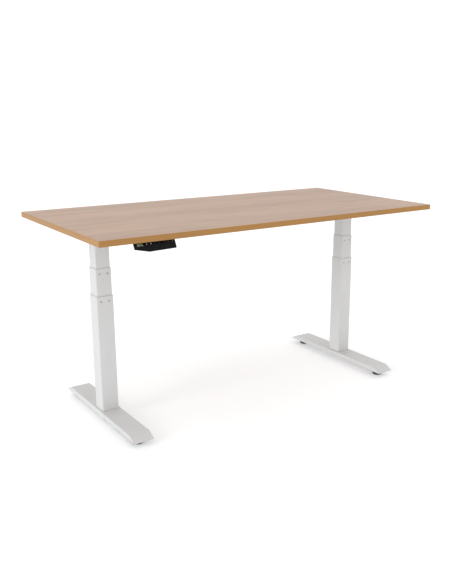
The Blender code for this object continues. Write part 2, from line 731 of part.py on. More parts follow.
def build_control_box(materials, parent):
    """Mounting base against the board, cover below it, circuit board inside, mains inlet in the end."""
    front, back, bottom = box_places()
    half = BOX_LENGTH / 2
    base_bottom = -GAP - BASE_SHEET
    cover_top = base_bottom - GAP
    new_solid(
        "control_box_base",
        box((-half - BASE_TAB, front, base_bottom), (half + BASE_TAB, back, -GAP)),
        materials["black_plastic"],
        parent,
    )
    outline = rounded_rectangle(BOX_LENGTH, BOX_DEPTH, BOX_RADIUS)
    middle = Vector((0, (front + back) / 2, 0))
    cover = new_solid(
        "control_box_cover",
        prism(outline, bottom, cover_top, along_z),
        materials["black_plastic"],
        parent,
        middle,
        smooth=True,
    )
    inner = (BOX_LENGTH - 2 * BOX_WALL, BOX_DEPTH - 2 * BOX_WALL)
    inner_outline = rounded_rectangle(*inner, BOX_RADIUS - BOX_WALL)
    inside = prism(inner_outline, bottom + BOX_WALL, cover_top + GAP, along_z)
    combine(cover, "control_box_cover_inside", inside, "DIFFERENCE")
    inlet_x = half - INLET_FROM_END
    inlet_z = (bottom + cover_top) / 2
    hole = (INLET_WIDTH / 2 + GAP, INLET_HEIGHT / 2 + GAP)
    combine(
        cover,
        "control_box_cover_inlet",
        box(
            (inlet_x - hole[0], BOX_DEPTH / 2 - 2 * BOX_WALL, inlet_z - hole[1]),
            (inlet_x + hole[0], BOX_DEPTH / 2 + GAP, inlet_z + hole[1]),
        ),
        "DIFFERENCE",
    )
    inlet = new_solid(
        "mains_inlet",
        box(
            (-INLET_WIDTH / 2, -INLET_DEPTH, -INLET_HEIGHT / 2),
            (INLET_WIDTH / 2, 0, INLET_HEIGHT / 2),
        ),
        materials["black_plastic"],
        parent,
        (inlet_x, back, inlet_z),
    )
    recess = (INLET_WIDTH / 2 - INLET_WALL, INLET_HEIGHT / 2 - INLET_WALL)
    combine(
        inlet,
        "mains_inlet_recess",
        box((-recess[0], -INLET_RECESS, -recess[1]), (recess[0], GAP, recess[1])),
        "DIFFERENCE",
    )
    board_top = cover_top - BOARD_STANDOFF
    board_room = BOX_RADIUS + GAP
    new_solid(
        "control_board",
        box(
            (-half + board_room, front + board_room, board_top - BOARD_SHEET),
            (half - board_room, back - INLET_DEPTH - GAP, board_top),
        ),
        materials["circuit_green"],
        parent,
    )


def build_leads(materials, parent):
    """The motor leads and the handset lead, from their own pieces to the ends of the control box."""
    front, _, bottom = box_places()
    motor_end = COLUMN_X - HEAD_LENGTH / 2 - GAP - MOTOR_LENGTH - MOTOR_CAP - GAP
    motor_z = MOTOR_Z - UNDERSIDE
    port_x = BOX_LENGTH / 2 + GAP
    port_z = bottom / 2
    over = HEAD_TOP - UNDERSIDE + MOTOR_LEAD_DIAMETER + 2 * GAP
    for name, side in SIDES:
        stops = [
            (motor_end, 0, motor_z),
            (motor_end - 0.020, 0, motor_z),
            (motor_end - 0.090, 0.012, over),
            (motor_end - 0.170, 0.045, over + 0.001),
            (motor_end - 0.240, 0.085, over),
            (port_x + 0.055, front + 2 * PORT_SPACING - 0.004, port_z + 0.004),
            (port_x + 0.015, front + 2 * PORT_SPACING, port_z),
            (port_x, front + 2 * PORT_SPACING, port_z),
        ]
        new_lead(
            name + "_motor_lead",
            [(side * x, y, z) for x, y, z in stops],
            MOTOR_LEAD_DIAMETER,
            materials["cable_black"],
            parent,
        )
    fascia_depth = FASCIA * math.cos(math.radians(HANDSET_TILT))
    handset_back = HANDSET_SETBACK - TOP_DEPTH / 2 + fascia_depth + HANDSET_DEPTH + GAP
    lead_z = -HANDSET_LEAD_DIAMETER - GAP
    new_lead(
        "handset_lead",
        [
            (HANDSET_CENTRE_X + 0.030, handset_back, -0.010),
            (HANDSET_CENTRE_X + 0.030, handset_back + 0.010, -0.010),
            (HANDSET_CENTRE_X + 0.036, handset_back + 0.040, lead_z - 0.002),
            (HANDSET_CENTRE_X + 0.064, handset_back + 0.090, lead_z),
            (-0.440, -0.160, lead_z),
            (-0.340, -0.075, lead_z),
            (-0.270, -0.010, lead_z),
            (-0.210, 0.045, lead_z),
            (-port_x - 0.050, front + PORT_SPACING - 0.008, port_z + 0.006),
            (-port_x - 0.010, front + PORT_SPACING, port_z),
            (-port_x, front + PORT_SPACING, port_z),
        ],
        HANDSET_LEAD_DIAMETER,
        materials["cable_black"],
        parent,
    )


# ---- Handset --------------------------------------------------------------------------------
def handset_corners(inset=0.0):
    """The outline of the handset's face about its centre line, taken in by inset."""
    half = HANDSET_WIDTH / 2
    low_x = HANDSET_WIDTH * (HANDSET_LOW_SHARE - 0.5)
    corners = [
        (-half, -HANDSET_LEFT_DROP),
        (low_x, -HANDSET_LOW_DROP),
        (half, -HANDSET_RIGHT_DROP),
        (half, 0),
        (-half, 0),
    ]
    return shrink(corners, [inset] * len(corners))


def handset_block(inset, start, end):
    """The outline run back from the tilted face to end, getting shallower and narrower towards the back."""
    corners = handset_corners(inset)
    draft = HANDSET_SIDE_DRAFT / (HANDSET_WIDTH / 2 - inset)
    shape = prism(rounded_corners(corners, HANDSET_RADIUS), 0, end, along_y)
    tilt = math.radians(HANDSET_TILT)
    for vert in shape.verts:
        share = vert.co.y / end
        drop = -vert.co.z
        vert.co.x *= 1 - share * draft
        vert.co.y += (1 - share) * (start - drop * math.sin(tilt))
        shallower = math.cos(tilt) + share * (HANDSET_BACK_SHARE - math.cos(tilt))
        vert.co.z = -inset - (drop - inset) * shallower
    return shape


def build_handset(materials, parent):
    """The shell under the board, and the tilted face with fascia, window, keys and circuit board."""
    tilt = math.radians(HANDSET_TILT)
    top = -GAP - FASCIA * math.sin(tilt)
    front = HANDSET_SETBACK - TOP_DEPTH / 2 + FASCIA * math.cos(tilt)
    housing = new_empty("handset", (HANDSET_CENTRE_X, front, top), parent)
    block = handset_block(0, GAP, HANDSET_DEPTH)
    shell = new_solid("handset_shell", block, materials["black_plastic"], housing)
    inside = handset_block(HANDSET_WALL, -GAP, HANDSET_DEPTH - HANDSET_WALL)
    combine(shell, "handset_shell_inside", inside, "DIFFERENCE")
    face = new_empty("handset_face", (0, 0, 0), housing)
    face.rotation_euler = (-tilt, 0, 0)
    plate = prism(rounded_corners(handset_corners(), HANDSET_RADIUS), -FASCIA, 0, along_y)
    fascia = new_solid("handset_fascia", plate, materials["gloss_black"], face)
    first_key = HANDSET_WIDTH / 2 - KEYS_FROM_RIGHT - KEY_PITCH * (len(KEY_NAMES) - 1)
    for index, name in enumerate(KEY_NAMES):
        key_place = (first_key + index * KEY_PITCH, 0, -KEY_DROP)
        hole = cylinder(KEY_RADIUS + GAP, -GAP, FASCIA + GAP, steps=KEY_STEPS)
        upright = Matrix.Rotation(math.radians(90), 3, "X")
        bmesh.ops.rotate(hole, cent=(0, 0, 0), matrix=upright, verts=hole.verts)
        bmesh.ops.translate(hole, vec=key_place, verts=hole.verts)
        combine(fascia, name + "_hole", hole, "DIFFERENCE")
        build_key(name, materials, new_empty(name + "_axis", key_place, face))
    window_x = first_key - WINDOW_TO_KEY
    hole = (WINDOW_WIDTH / 2 + GAP, WINDOW_HEIGHT / 2 + GAP)
    combine(
        fascia,
        "handset_window_hole",
        box(
            (window_x - hole[0], -FASCIA - GAP, -KEY_DROP - hole[1]),
            (window_x + hole[0], GAP, -KEY_DROP + hole[1]),
        ),
        "DIFFERENCE",
    )
    new_solid(
        "handset_window",
        box(
            (-WINDOW_WIDTH / 2, -FASCIA, -WINDOW_HEIGHT / 2),
            (WINDOW_WIDTH / 2, -FASCIA + WINDOW_THICKNESS, WINDOW_HEIGHT / 2),
        ),
        materials["gloss_black"],
        face,
        (window_x, 0, -KEY_DROP),
    )
    board_start = KEY_LENGTH - KEY_PROUD - FASCIA + HANDSET_BOARD_GAP
    board_end = board_start + BOARD_SHEET
    drawn_in = HANDSET_SIDE_DRAFT * 2 * board_end / HANDSET_DEPTH
    board_half = HANDSET_WIDTH / 2 - HANDSET_RADIUS - HANDSET_WALL - drawn_in
    board_top = -2 * HANDSET_WALL
    board_bottom = 4 * HANDSET_WALL - HANDSET_LEFT_DROP
    new_solid(
        "handset_board",
        box((-board_half, board_start, board_bottom), (board_half, board_end, board_top)),
        materials["circuit_green"],
        face,
    )


def build_key(name, materials, parent):
    """A round key that stands a little proud, with a flange that keeps it behind the fascia."""
    front = -FASCIA - KEY_PROUD
    back = front + KEY_LENGTH
    key = new_solid(
        name,
        lathe(
            [(0, front), (KEY_RADIUS - KEY_EDGE, front), (KEY_RADIUS, front + KEY_EDGE),
             (KEY_RADIUS, GAP), (KEY_FLANGE_RADIUS, GAP), (KEY_FLANGE_RADIUS, GAP + KEY_FLANGE),
             (KEY_RADIUS, GAP + KEY_FLANGE), (KEY_RADIUS, back), (0, back)],
            steps=KEY_STEPS,
        ),
        materials["gloss_black"],
        parent,
        smooth=True,
    )
    key.rotation_euler = (math.radians(-90), 0, 0)


# ---- The desk -------------------------------------------------------------------------------
def main():
    clear_scene()
    materials = make_materials()
    underside = new_empty("top_assembly", (0, 0, UNDERSIDE))
    build_tabletop(materials, underside)
    build_rails(materials, underside)
    build_control_box(materials, underside)
    build_leads(materials, underside)
    build_handset(materials, underside)
    for name, side in SIDES:
        axis = (side * COLUMN_X, 0, 0)
        upper = new_empty(name + "_column_top", axis)
        build_side_bracket(name + "_side_bracket", materials, upper)
        build_column_head(name + "_column_head", side, materials, upper)
        build_drive(name, side, materials, upper)
        build_upper_stage(name, materials, upper, new_empty(name + "_drive_axis", (0, 0, 0), upper))
        middle = new_empty(name + "_column_middle", axis)
        build_middle_stage(name, materials, middle, new_empty(name + "_hollow_axis", (0, 0, 0), middle))
        base = new_empty(name + "_column_base", axis)
        build_base_stage(name, materials, base)
        build_foot(name + "_foot", materials, base)
        for end, place in (("front", -LEVELLER_Y), ("back", LEVELLER_Y)):
            build_levelling_foot(f"{name}_{end}_levelling_foot", materials, base, (0, place, 0))


if __name__ == "__main__":
    main()
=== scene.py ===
"""Height adjustable standing desk: every visible piece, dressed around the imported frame.

Places are in metres in the frame's own axes: +X along the desk to the user's right, +Y to the back,
+Z up, with the origin on the floor under the middle of the top.
"""

import logging
import math
from collections.abc import Callable, Iterable, Sequence
from dataclasses import dataclass
from enum import Enum

import bmesh
import bpy
from mathutils import Matrix, Vector


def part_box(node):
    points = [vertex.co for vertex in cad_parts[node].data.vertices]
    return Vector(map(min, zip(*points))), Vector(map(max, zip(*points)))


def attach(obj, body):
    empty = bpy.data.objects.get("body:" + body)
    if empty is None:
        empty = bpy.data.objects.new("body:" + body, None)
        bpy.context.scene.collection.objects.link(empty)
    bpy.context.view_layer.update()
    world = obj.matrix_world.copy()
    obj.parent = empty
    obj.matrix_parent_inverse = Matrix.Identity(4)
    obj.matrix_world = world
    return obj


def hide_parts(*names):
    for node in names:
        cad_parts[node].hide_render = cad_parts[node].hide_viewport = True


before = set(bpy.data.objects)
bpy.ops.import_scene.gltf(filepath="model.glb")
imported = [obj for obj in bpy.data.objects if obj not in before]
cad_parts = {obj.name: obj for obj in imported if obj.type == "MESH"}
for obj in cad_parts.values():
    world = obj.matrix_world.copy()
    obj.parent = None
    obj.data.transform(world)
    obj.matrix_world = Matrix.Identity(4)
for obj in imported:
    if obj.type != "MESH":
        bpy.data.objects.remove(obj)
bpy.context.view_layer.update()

LOG = logging.getLogger("standing_desk")

Shape = bmesh.types.BMesh
Point = Sequence[float]
Outline = list[tuple[float, float]]

SEAM = 0.00025  # how far a piece is grown to close the frame's clearance to its neighbour
TIGHT = 0.0001  # between faces that would otherwise lie in one plane
DOWNWARD = (180, 0, 0)


class Side(Enum):
    """One end of the desk, with its sign along X."""

    LEFT = ("left", -1)
    RIGHT = ("right", 1)

    @property
    def word(self) -> str:
        """The word that starts this end's names."""
        return self.value[0]

    @property
    def sign(self) -> int:
        """Which way along X this end lies."""
        return self.value[1]


class Along(Enum):
    """The axis that a section is drawn out along."""

    X = (1, 2, 0)
    Y = (0, 2, 1)
    Z = (0, 1, 2)

    def place(self, u: float, v: float, w: float) -> Vector:
        """Turn section coordinates u and v, at w along the axis, into a place."""
        at = Vector((0, 0, 0))
        for axis, value in zip(self.value, (u, v, w)):
            at[axis] = value
        return at


class Drive(Enum):
    """The recess in a screw's head."""

    HEX = "hex"
    STAR = "star"

    def reach(self, turn: float, size: float) -> float:
        """How far the recess reaches from the screw's axis.

        Args:
            turn: Angle about the axis, in radians.
            size: Half of the recess's width across.

        Returns:
            The radius at that angle.
        """
        if self is Drive.HEX:
            return size / math.cos((turn + math.pi / 6) % (math.pi / 3) - math.pi / 6)
        return size * (1 + 0.16 * math.cos(6 * turn))


# ---- Shapes -----------------------------------------------------------------------------------
def box(low: Point, high: Point) -> Shape:
    """Make a box between its lowest and highest corners."""
    shape = bmesh.new()
    low, high = Vector(low), Vector(high)
    bmesh.ops.create_cube(shape, size=1.0)
    bmesh.ops.scale(shape, vec=high - low, verts=shape.verts)
    bmesh.ops.translate(shape, vec=(low + high) / 2, verts=shape.verts)
    return shape


def loft(sections: Sequence[Sequence[Point]], closed: bool = False) -> Shape:
    """Join loops of points, all of one count, by quads.

    Args:
        sections: The loops in order.
        closed: Whether the last loop joins the first; if not, both end loops are capped.

    Returns:
        The shape.
    """
    shape = bmesh.new()
    loops = [[shape.verts.new(point) for point in section] for section in sections]
    following = loops[1:] + (loops[:1] if closed else [])
    for loop, after in zip(loops, following):
        for index in range(len(loop)):
            shape.faces.new((loop[index - 1], loop[index], after[index], after[index - 1]))
    if not closed:
        shape.faces.new(loops[0])
        shape.faces.new(loops[-1])
    return shape


def prism(outline: Outline, low: float, high: float, along: Along = Along.Z) -> Shape:
    """Draw an outline out from low to high along an axis."""
    return loft([[along.place(u, v, w) for u, v in outline] for w in (low, high)])


def hollow(outer: Outline, inner: Outline, low: float, high: float,
           along: Along = Along.Z) -> Shape:
    """Draw a hollow section, whose two outlines have one count of points, out along an axis."""
    turns = ((outer, low), (outer, high), (inner, high), (inner, low))
    return loft([[along.place(u, v, w) for u, v in ring] for ring, w in turns], closed=True)


def circle(radius: float, steps: int = 32) -> Outline:
    """Make the outline of a circle about the origin."""
    turns = [math.tau * step / steps for step in range(steps)]
    return [(radius * math.cos(turn), radius * math.sin(turn)) for turn in turns]


def turned(profile: Sequence[tuple[float, float]], steps: int = 32, closed: bool = False) -> Shape:
    """Turn (radius, height) points about Z.

    Args:
        profile: The points; a closed profile goes round a bore, and any other is capped.
        steps: How many flats go round.
        closed: Whether the last point joins the first.

    Returns:
        The turned shape.
    """
    rings = [[(x, y, height) for x, y in circle(radius, steps)] for radius, height in profile]
    return loft(rings, closed)


def rounded_rectangle(width: float, depth: float, radius: float, u: float = 0.0, v: float = 0.0,
                      steps: int = 6) -> Outline:
    """Make the outline of a rectangle with round corners.

    Args:
        width: Its size along u.
        depth: Its size along v.
        radius: Of its corners.
        u: Its middle along u.
        v: Its middle along v.
        steps: Segments across a corner.

    Returns:
        The outline.
    """
    points = []
    for quarter, (sx, sy) in enumerate(((1, 1), (-1, 1), (-1, -1), (1, -1))):
        x, y = sx * (width / 2 - radius), sy * (depth / 2 - radius)
        for step in range(steps + 1):
            turn = math.pi / 2 * (quarter + step / steps)
            points.append((x + radius * math.cos(turn) + u, y + radius * math.sin(turn) + v))
    return points


def rounded(corners: Sequence[tuple[float, float, float]], steps: int = 5) -> Outline:
    """Round the corners of an outline.

    Args:
        corners: (u, v, radius) of each corner; a radius of 0 leaves it sharp.
        steps: Segments in each round corner.

    Returns:
        The outline.
    """
    points = []
    for index, (u, v, radius) in enumerate(corners):
        corner = Vector((u, v))
        if not radius:
            points.append((u, v))
            continue
        before = (Vector(corners[index - 1][:2]) - corner).normalized()
        after = (Vector(corners[(index + 1) % len(corners)][:2]) - corner).normalized()
        half = before.angle(after) / 2
        centre = corner + (before + after).normalized() * radius / math.sin(half)
        start = corner + before * radius / math.tan(half) - centre
        sweep = start.angle_signed(corner + after * radius / math.tan(half) - centre)
        for step in range(steps + 1):
            points.append(tuple(centre + Matrix.Rotation(-sweep * step / steps, 2) @ start))
    return points


def moved(shape: Shape, matrix: Matrix) -> Shape:
    """Carry a shape by a matrix."""
    bmesh.ops.transform(shape, matrix=matrix, verts=shape.verts)
    return shape


def at(place: Point, turn: Point = (0, 0, 0)) -> Matrix:
    """Make the matrix that turns by degrees about X, Y and Z and then moves to a place."""
    angles = [math.radians(angle) for angle in turn]
    spin = Matrix.Rotation(angles[2], 4, "Z") @ Matrix.Rotation(angles[1], 4, "Y")
    return Matrix.Translation(place) @ spin @ Matrix.Rotation(angles[0], 4, "X")


def joined(shapes: Iterable[Shape]) -> Shape:
    """Put several shapes into one."""
    whole = bmesh.new()
    for shape in shapes:
        mesh = bpy.data.meshes.new("part")
        bmesh.ops.recalc_face_normals(shape, faces=shape.faces[:])
        shape.to_mesh(mesh)
        shape.free()
        whole.from_mesh(mesh)
        bpy.data.meshes.remove(mesh)
    return whole


def carved(shape: Shape, cutters: Iterable[Shape]) -> Shape:
    """Cut shapes out of a solid.

    Args:
        shape: The solid.
        cutters: The shapes to cut, one after the other.

    Returns:
        The solid that is left.
    """
    helpers = []
    for index, part in enumerate((shape, *cutters)):
        mesh = bpy.data.meshes.new(f"carving_{index}")
        bmesh.ops.recalc_face_normals(part, faces=part.faces[:])
        part.to_mesh(mesh)
        part.free()
        helper = bpy.data.objects.new(mesh.name, mesh)
        bpy.context.scene.collection.objects.link(helper)
        helpers.append(helper)
    for cutter in helpers[1:]:
        modifier = helpers[0].modifiers.new("carve", "BOOLEAN")
        modifier.operation = "DIFFERENCE"
        modifier.solver = "EXACT"
        modifier.object = cutter
    graph = bpy.context.evaluated_depsgraph_get()
    left = bmesh.new()
    left.from_mesh(helpers[0].evaluated_get(graph).to_mesh())
    for helper in helpers:
        mesh = helper.data
        bpy.data.objects.remove(helper)
        bpy.data.meshes.remove(mesh)
    bmesh.ops.remove_doubles(left, verts=left.verts[:], dist=1e-6)
    bmesh.ops.dissolve_degenerate(left, edges=left.edges[:], dist=1e-6)
    return left


def smooth_route(stops: Sequence[Point], spacing: float) -> list[Vector]:
    """Run a smooth curve through stops.

    Args:
        stops: The places that the curve passes.
        spacing: About how far apart its points are.

    Returns:
        The points of the curve.
    """
    stops = [Vector(stop) for stop in stops]
    points = [2 * stops[0] - stops[1], *stops, 2 * stops[-1] - stops[-2]]
    route = [stops[0]]
    for index in range(1, len(points) - 2):
        p0, p1, p2, p3 = points[index - 1 : index + 3]
        steps = max(1, round((p2 - p1).length / spacing))
        for step in range(1, steps + 1):
            t = step / steps
            bend = t**2 * (2 * p0 - 5 * p1 + 4 * p2 - p3) + t**3 * (3 * p1 - p0 - 3 * p2 + p3)
            route.append(0.5 * (2 * p1 + t * (p2 - p0) + bend))
    return route


def swept(route: Sequence[Vector], radii: Sequence[float], steps: int = 14) -> Shape:
    """Sweep a circle along a route.

    Args:
        route: The centre line's points.
        radii: The radius at each point.
        steps: How many flats go round.

    Returns:
        The swept shape, capped at both ends.
    """
    sections = []
    across = Vector((0, 0, 1))
    for index, point in enumerate(route):
        ahead = route[min(index + 1, len(route) - 1)] - route[max(index - 1, 0)]
        ahead.normalize()
        across = (across - across.dot(ahead) * ahead).normalized()
        other = ahead.cross(across)
        sections.append([point + u * across + v * other for u, v in circle(radii[index], steps)])
    return loft(sections)


def threaded(crest: float, root: float, pitch: float, low: float, high: float,
             bore: float = 0.0) -> Shape:
    """Make a rod or sleeve with a real helical thread.

    Args:
        crest: The thread's outside radius.
        root: Its radius at the bottom of the groove.
        pitch: Height of one turn.
        low: Lower end.
        high: Upper end.
        bore: Radius of the bore, or 0 for a solid rod.

    Returns:
        The threaded shape.
    """
    steps, rows = 20, max(2, round((high - low) / pitch * 4))
    sections = []
    for row in range(rows + 1):
        height = low + (high - low) * row / rows
        ring = []
        for step in range(steps):
            phase = (height / pitch - step / steps) % 1.0
            radius = root + (crest - root) * min(1.0, max(0.0, 2.4 * abs(2 * phase - 1) - 0.7))
            turn = math.tau * step / steps
            ring.append((radius * math.cos(turn), radius * math.sin(turn), height))
        sections.append(ring)
    if bore:
        for height in (high, low):
            sections.append([(x, y, height) for x, y in circle(bore, steps)])
    return loft(sections, closed=bool(bore))


def screw_head(radius: float, height: float, drive: Drive = Drive.STAR) -> Shape:
    """Make a domed screw head that stands on Z = 0, with a recess for its driver.

    Args:
        radius: Of the head.
        height: Of the head's dome.
        drive: The kind of recess.

    Returns:
        The head.
    """
    steps = 36
    rim = [(radius, 0.0), (radius, 0.3 * height), (0.94 * radius, 0.62 * height),
           (0.78 * radius, 0.88 * height), (0.58 * radius, height)]
    sections = [[(x, y, z) for x, y in circle(r, steps)] for r, z in rim]
    for share, depth in ((0.44, 1.0), (0.42, 0.35)):
        ring = []
        for step in range(steps):
            turn = math.tau * step / steps
            reach = drive.reach(turn, share * radius)
            ring.append((reach * math.cos(turn), reach * math.sin(turn), depth * height))
        sections.append(ring)
    return loft(sections)


def hex_head(across: float, height: float, flange: float = 0.0) -> Shape:
    """Make a hexagonal head or nut on Z = 0, with a round flange below it if one is asked for."""
    hexagon = [(across / 2 / math.cos(math.pi / 6) * math.cos(math.pi / 3 * i),
                across / 2 / math.cos(math.pi / 6) * math.sin(math.pi / 3 * i)) for i in range(6)]
    low = 0.2 * height if flange else 0.0
    shapes = [prism(hexagon, low, height)]
    if flange:
        shapes.append(turned([(flange, 0), (flange, 0.12 * height), (0.8 * flange, 0.26 * height)]))
    return joined(shapes)


def chip(low: Point, high: Point, edge: float) -> Shape:
    """Make a box whose upright edges are cut back, as on a moulded block."""
    width, depth = high[0] - low[0], high[1] - low[1]
    outline = rounded_rectangle(width, depth, edge, low[0] + width / 2, low[1] + depth / 2, 2)
    return prism(outline, low[2], high[2])


# ---- Shading ----------------------------------------------------------------------------------
Socket = bpy.types.NodeSocket


class Nodes:
    """Adds nodes to one tree and joins their sockets."""

    def __init__(self, tree: bpy.types.NodeTree) -> None:
        """Work in a tree."""
        self.tree = tree

    def add(self, kind: str, inputs: dict | None = None, **settings: object) -> bpy.types.Node:
        """Add a node.

        Args:
            kind: The node's type.
            inputs: Socket name or number to a value, or to the socket that feeds it.
            settings: The node's own settings.

        Returns:
            The node.
        """
        node = self.tree.nodes.new(kind)
        for name, value in settings.items():
            setattr(node, name, value)
        for name, value in (inputs or {}).items():
            self.feed(node.inputs[name], value)
        return node

    def feed(self, socket: Socket, value: object) -> None:
        """Join a socket to another, or set its value."""
        if isinstance(value, Socket):
            self.tree.links.new(value, socket)
        else:
            socket.default_value = value

    def place(self) -> Socket:
        """The point's place on the piece."""
        return self.add("ShaderNodeTexCoord").outputs["Object"]

    def stretched(self, where: Socket, scale: Point) -> Socket:
        """Scale a place along each axis."""
        return self.add("ShaderNodeMapping", {"Vector": where, "Scale": scale}).outputs["Vector"]

    def noise(self, where: Socket, scale: object, detail: float = 2.0,
              rough: float = 0.5) -> Socket:
        """Noise from 0 to 1 at a place."""
        values = {"Vector": where, "Scale": scale, "Detail": detail, "Roughness": rough}
        return self.add("ShaderNodeTexNoise", values).outputs[0]

    def maths(self, operation: str, a: object, b: object = 0.0) -> Socket:
        """Work out one value from two."""
        return self.add("ShaderNodeMath", {0: a, 1: b}, operation=operation).outputs[0]

    def times(self, a: object, b: object) -> Socket:
        """Multiply two values."""
        return self.maths("MULTIPLY", a, b)

    def ranged(self, value: Socket, start: float, end: float, low: object = 0.0,
               high: object = 1.0) -> Socket:
        """Ease from low to high while a value goes from start to end."""
        values = {"Value": value, "From Min": start, "From Max": end, "To Min": low, "To Max": high}
        return self.add("ShaderNodeMapRange", values, interpolation_type="SMOOTHSTEP").outputs[0]

    def mixed(self, share: object, a: object, b: object) -> Socket:
        """Mix two colours."""
        return self.add("ShaderNodeMix", {0: share, 6: a, 7: b}, data_type="RGBA").outputs[2]

    def surface(self, shader: bpy.types.Node, colour: Socket, rough: Socket,
                height: Socket | None = None, depth: float = 0.0) -> None:
        """Feed a shader.

        Args:
            shader: The Principled BSDF.
            colour: Its base colour.
            rough: Its roughness.
            height: Relief from 0 to 1, or None for a flat surface.
            depth: Depth of the relief in metres.
        """
        self.feed(shader.inputs["Base Color"], colour)
        self.feed(shader.inputs["Roughness"], rough)
        if height is not None:
            values = {"Height": height, "Distance": depth, "Strength": 1.0}
            self.feed(shader.inputs["Normal"], self.add("ShaderNodeBump", values).outputs[0])


Given = dict[str, Socket]


@dataclass(frozen=True)
class Effect:
    """A surface effect that several finishes share, as a node group that is built once."""

    name: str
    takes: tuple[tuple[str, str, float], ...]
    gives: tuple[str, ...]
    wire: Callable[[Nodes, Given], Given]

    def group(self) -> bpy.types.NodeTree:
        """Find the node group, or build it."""
        tree = bpy.data.node_groups.get(self.name)
        if tree:
            return tree
        tree = bpy.data.node_groups.new(self.name, "ShaderNodeTree")
        for name, kind, value in self.takes:
            socket = tree.interface.new_socket(name, in_out="INPUT",
                                               socket_type="NodeSocket" + kind)
            if kind == "Float":
                socket.default_value = value
        for name in self.gives:
            tree.interface.new_socket(name, in_out="OUTPUT", socket_type="NodeSocketFloat")
        nodes = Nodes(tree)
        given = {socket.name: socket for socket in nodes.add("NodeGroupInput").outputs
                 if socket.name}
        made = self.wire(nodes, given)
        nodes.add("NodeGroupOutput", made)
        return tree

    def apply(self, nodes: Nodes, values: dict) -> dict[str, Socket]:
        """Place the effect in a material.

        Args:
            nodes: Where to place it.
            values: Its inputs.

        Returns:
            Its outputs by name.
        """
        node = nodes.add("ShaderNodeGroup", node_tree=self.group())
        for name, value in values.items():
            nodes.feed(node.inputs[name], value)
        return {socket.name: socket for socket in node.outputs}


def wire_edge_and_wear_masks(nodes: Nodes, given: Given) -> Given:
    """Find the edges of a piece, and break the mask up where they are less rubbed."""
    soft = nodes.add("ShaderNodeBevel", {"Radius": given["Size"]}, samples=4).outputs[0]
    normal = nodes.add("ShaderNodeNewGeometry").outputs["Normal"]
    facing = nodes.add("ShaderNodeVectorMath", {0: soft, 1: normal}, operation="DOT_PRODUCT")
    edge = nodes.ranged(facing.outputs["Value"], 0.995, 0.82)
    rubbed = nodes.ranged(nodes.noise(given["Vector"], given["Breakup"], 3.0), 0.35, 0.62)
    return {"Edge": edge, "Worn": nodes.times(edge, rubbed)}


def wire_speckle(nodes: Nodes, given: Given) -> Given:
    """Make the fine skin of a coating or moulding, and its slow change of tone."""
    fine = nodes.noise(given["Vector"], given["Grain"], 2.0, 0.6)
    slow = nodes.noise(given["Vector"], 9.0, 3.0, 0.55)
    return {"Height": fine, "Fleck": nodes.ranged(fine, 0.42, 0.62), "Tone": slow}


def wire_wood(nodes: Nodes, given: Given) -> Given:
    """Make wood figure that runs along X, with fibres and pores."""
    where = given["Vector"]
    wander = nodes.noise(nodes.stretched(where, (1.1, 3.0, 3.0)), 1.3, 2.0)
    shift = nodes.add("ShaderNodeCombineXYZ", {"Y": nodes.times(wander, 0.16)})
    curved = nodes.add("ShaderNodeVectorMath", {0: where, 1: shift.outputs[0]},
                       operation="ADD").outputs[0]
    broad = nodes.noise(nodes.stretched(curved, (0.9, 6.5, 6.5)), 1.0, 3.0, 0.55)
    figure = nodes.noise(nodes.stretched(curved, (2.2, 46.0, 46.0)), 1.0, 4.0, 0.62)
    fibre = nodes.noise(nodes.stretched(curved, (9.0, 520.0, 520.0)), 1.0, 2.0, 0.6)
    pore = nodes.noise(nodes.stretched(curved, (42.0, 1150.0, 1150.0)), 1.0, 1.0)
    return {"Broad": broad, "Figure": figure, "Fibre": fibre,
            "Pore": nodes.ranged(pore, 0.62, 0.74)}


def wire_brushed(nodes: Nodes, given: Given) -> Given:
    """Make the fine lines of a drawn, turned or brushed metal along Z."""
    where = given["Vector"]
    fine = nodes.noise(nodes.stretched(where, (900.0, 900.0, 22.0)), 1.0, 2.0, 0.6)
    coarse = nodes.noise(nodes.stretched(where, (160.0, 160.0, 5.0)), 1.0, 3.0, 0.6)
    return {"Lines": fine, "Bands": coarse}


def wire_dust(nodes: Nodes, given: Given) -> Given:
    """Find where dust settles: faces that look up, thickest near the floor."""
    geometry = nodes.add("ShaderNodeNewGeometry")
    up = nodes.add("ShaderNodeSeparateXYZ", {0: geometry.outputs["Normal"]}).outputs["Z"]
    height = nodes.add("ShaderNodeSeparateXYZ", {0: given["Vector"]}).outputs["Z"]
    low = nodes.ranged(height, given["Reach"], 0.0)
    loose = nodes.ranged(nodes.noise(given["Vector"], 60.0, 4.0, 0.65), 0.35, 0.75)
    facing = nodes.ranged(up, 0.2, 0.95)
    return {"Dust": nodes.times(nodes.times(facing, low), loose)}


VECTOR = ("Vector", "Vector", 0.0)
EDGE_AND_WEAR_MASKS = Effect("edge_and_wear_masks", (VECTOR, ("Size", "Float", 0.001), ("Breakup", "Float", 90.0)),
                   ("Edge", "Worn"), wire_edge_and_wear_masks)
SPECKLE = Effect("speckle", (VECTOR, ("Grain", "Float", 900.0)), ("Height", "Fleck", "Tone"),
                 wire_speckle)
WOOD = Effect("wood_figure", (VECTOR,), ("Broad", "Figure", "Fibre", "Pore"), wire_wood)
BRUSHED = Effect("brushed_lines", (VECTOR,), ("Lines", "Bands"), wire_brushed)
DUST = Effect("settled_dust", (VECTOR, ("Reach", "Float", 0.1)), ("Dust",), wire_dust)

Colour = tuple[float, float, float]


def paint(colour: Colour) -> tuple[float, float, float, float]:
    """Add a full alpha to a colour."""
    return (*colour, 1.0)


def toned(colour: Colour, share: float) -> tuple[float, float, float, float]:
    """Make a colour lighter or darker by a share."""
    return (*(min(1.0, part * share) for part in colour), 1.0)


